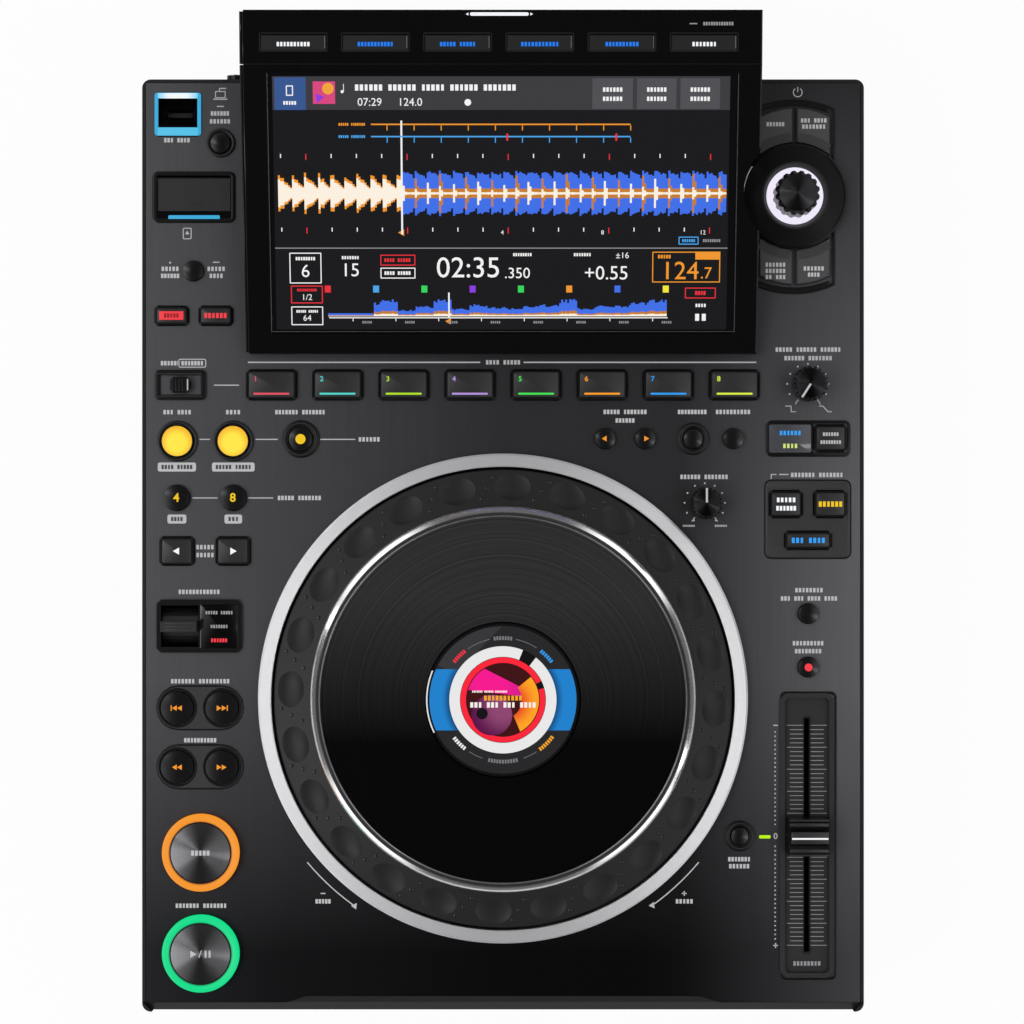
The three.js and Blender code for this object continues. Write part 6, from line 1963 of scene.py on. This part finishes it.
    def fader_cap(self, x: float) -> None:
        """Adds the cap's ridge with its white line, and the steps that finger tips push.

        Args:
            x: the cap's middle across.
        """
        level = top("tempo_fader_cap")
        steps = Bench("fader_cap_steps", level)
        for drop, depth in ((5.9, 1.6), (-5.9, 1.6), (7.9, 0.9), (-7.9, 0.9)):
            steps.plate(x, self.middle + drop, 17.4, depth, 0.3)
        steps.finish(KEY_FACE, "tempo_fader", rise=0.5, bevel=0.2)
        ridge = Bench("fader_cap_ridge", level).plate(x + 0.3, self.middle, 17.0, 5.6, 0.5)
        ridge.finish(KEY_FACE, "tempo_fader", rise=0.9, bevel=0.4)
        line = Bench("fader_cap_line", level + 0.9).plate(x + 0.3, self.middle - 0.3, 16.4, 0.8, 0.1)
        line.finish(WHITE_LENS, "tempo_fader", rise=0.06)


@dataclass
class Studio:
    """A plain pale room: the floor, an even sky, one soft lamp and the camera overhead.

    A dark ceiling runs from front to back over the object and only reflections see it, as
    photographers hang one over gloss that has to stay black. The side walls stay bright. It is
    part of the sky and does not follow the camera.
    """

    floor_half: float = 4.0
    eye: tuple[float, float, float] = (0.0041, 0.0028, 1.38)
    lens: float = 100.3
    panel_reach: Point = (0.16, 0.5)
    panel_shade: float = 0.05
    rear_reach: Point = (0.3, 0.8)
    rear_light: float = 0.5
    lobe: Point = (0.13, 1.4)
    slit: float = 158.0
    sky: float = 0.62
    lobe_reach: Point = (0.36, 0.48)
    lobe_height: Point = (0.48, 0.62)
    slit_reach: Point = (0.02, 0.05)
    slit_height: Point = (0.93, 0.97)
    slit_light: float = 4.5
    lamp_spot: tuple[float, float, float] = (-1.86, -0.65, 2.2)
    lamp_size: float = 1.4
    lamp_power: float = 20.0

    def build(self) -> None:
        """Builds the room in order."""
        self.floor()
        self.world()
        self.lamp()
        self.camera()

    def floor(self) -> None:
        """Lays the floor: a pale sheet that shows the camera a white close to the sky's."""
        object_mode()
        bpy.ops.mesh.primitive_plane_add(size=2 * self.floor_half)
        sheet = bpy.context.object
        sheet.name = "studio_floor"
        paint = bpy.data.materials.new("floor_paint")
        paint.use_nodes = True
        tree = paint.node_tree
        shader = tree.nodes["Principled BSDF"]
        shader.inputs["Base Color"].default_value = linear("#f6f6f6")
        shader.inputs["Roughness"].default_value = 0.9
        bright = add_node(tree, "Emission", {"Color": (1, 1, 1, 1), "Strength": 1.0})
        seen = add_node(tree, "LightPath").outputs["Is Camera Ray"]
        share = add_node(tree, "Math", {"operation": "MULTIPLY", 1: 0.95}, {0: seen})
        mixed = add_node(tree, "MixShader", links={0: share, 1: shader, 2: bright})
        tree.links.new(mixed.outputs[0], tree.nodes["Material Output"].inputs["Surface"])
        sheet.data.materials.append(paint)

    def world(self) -> None:
        """Lights the room evenly, and hangs the dark panel where only reflections find it."""
        world = bpy.data.worlds.new("pale_room")
        bpy.context.scene.world = world
        world.use_nodes = True
        tree = world.node_tree
        plain = tree.nodes["Background"]
        plain.inputs["Color"].default_value = (1, 1, 1, 1)
        plain.inputs["Strength"].default_value = self.sky
        way = add_node(tree, "TexCoord").outputs["Generated"]
        split = add_node(tree, "SeparateXYZ", links={0: way}).outputs
        across = add_node(tree, "Math", {"operation": "ABSOLUTE"}, {0: split["X"]})
        side = add_node(tree, "MapRange", self.run(self.panel_reach, self.panel_shade, 1.0), {0: across})
        rear = add_node(tree, "MapRange", self.run(self.rear_reach, 0.0, self.rear_light), {0: split["Y"]})
        walls = add_node(tree, "Math", {"operation": "ADD"}, {0: side, 1: rear})
        lit = self.corner_lights(tree, way, split["Z"], walls.outputs[0])
        mirrored = add_node(tree, "Background", {"Color": (1, 1, 1, 1)}, {"Strength": lit})
        white = add_node(tree, "Background", {"Color": (1, 1, 1, 1), "Strength": 1.0})
        path = add_node(tree, "LightPath").outputs
        glossy = add_node(tree, "MixShader", links={0: path["Is Glossy Ray"], 1: plain, 2: mirrored})
        clear = add_node(tree, "MixShader", links={0: path["Is Transmission Ray"], 1: glossy, 2: white})
        seen = add_node(tree, "MixShader", links={0: path["Is Camera Ray"], 1: clear, 2: white})
        tree.links.new(seen.outputs[0], tree.nodes["World Output"].inputs["Surface"])

    def run(self, reach: Point, near: float, far: float) -> dict[object, object]:
        """Gives the settings of a soft change from one value to another over a reach."""
        return {"interpolation_type": "SMOOTHSTEP", 1: reach[0], 2: reach[1], 3: near, 4: far}

    def corner_lights(self, tree: Tree, way: Socket, height: Socket, walls: Socket) -> Socket:
        """Stands a tall light in each corner of the room and a narrow one on two sides, for reflections.

        Args:
            tree: the world's node tree.
            way: the direction of view.
            height: its upward share.
            walls: the strength of the plain walls.

        Returns:
            The socket with the strength that reflections see.
        """
        split = add_node(tree, "SeparateXYZ", links={0: way}).outputs
        product = add_node(tree, "Math", {"operation": "MULTIPLY"}, {0: split["X"], 1: split["Y"]})
        level = add_node(tree, "Math", {"operation": "MULTIPLY_ADD", 2: -1.0}, {0: height, 1: height})
        ratio = add_node(tree, "Math", {"operation": "DIVIDE"}, {0: product, 1: level})
        corner = add_node(tree, "Math", {"operation": "ABSOLUTE"}, {0: ratio})
        lights = add_node(tree, "MapRange", self.run(self.lobe_reach, *self.lobe), {0: corner})
        low = add_node(tree, "MapRange", self.run(self.lobe_height, 1.0, 0.0), {0: height})
        mixed = add_node(tree, "Mix", {"data_type": "FLOAT"}, {0: low, 2: walls, 3: lights})
        turn = math.radians(self.slit)
        across = {"operation": "DOT_PRODUCT", 1: (math.sin(turn), -math.cos(turn), 0.0)}
        aside = add_node(tree, "VectorMath", across, {0: way}).outputs["Value"]
        aside = add_node(tree, "Math", {"operation": "ABSOLUTE"}, {0: aside})
        narrow = add_node(tree, "MapRange", self.run(self.slit_reach, self.slit_light, 0.0), {0: aside})
        band = add_node(tree, "MapRange", self.run(self.slit_height, 1.0, 0.0), {0: height})
        slot = add_node(tree, "Math", {"operation": "MULTIPLY"}, {0: narrow, 1: band})
        return add_node(tree, "Math", {"operation": "ADD"}, {0: mixed, 1: slot}).outputs[0]

    def lamp(self) -> None:
        """Hangs the one soft lamp, to the left and a little in front."""
        bpy.ops.object.light_add(type="AREA", location=self.lamp_spot)
        lamp_object = bpy.context.object
        lamp_object.name = "soft_lamp"
        lamp_object.data.size = self.lamp_size
        lamp_object.data.energy = self.lamp_power
        aim = Vector((0, 0, 0.08)) - lamp_object.location
        lamp_object.rotation_euler = aim.to_track_quat("-Z", "Y").to_euler()

    def camera(self) -> None:
        """Sets the camera straight above, with the front edge at the bottom."""
        bpy.ops.object.camera_add(location=self.eye, rotation=(0, 0, 0))
        camera = bpy.context.object
        camera.name = "overhead_camera"
        camera.data.lens = self.lens
        camera.data.sensor_width = 36
        bpy.context.scene.camera = camera


def main() -> None:
    """Builds the room and every sub-assembly in order."""
    logging.basicConfig(level=logging.INFO, format="%(message)s")
    bpy.context.scene.view_settings.view_transform = "Standard"
    assemblies = (
        Studio(), Housing(), Legends(), ScreenPod(), JogWheel(), BrowseCluster(),
        KeyCaps(), HotPads(), MediaBay(), Transport(), RightColumn(),
    )
    for assembly in assemblies:
        log.info("building the %s", type(assembly).__name__)
        assembly.build()


if __name__ == "__main__":
    main()
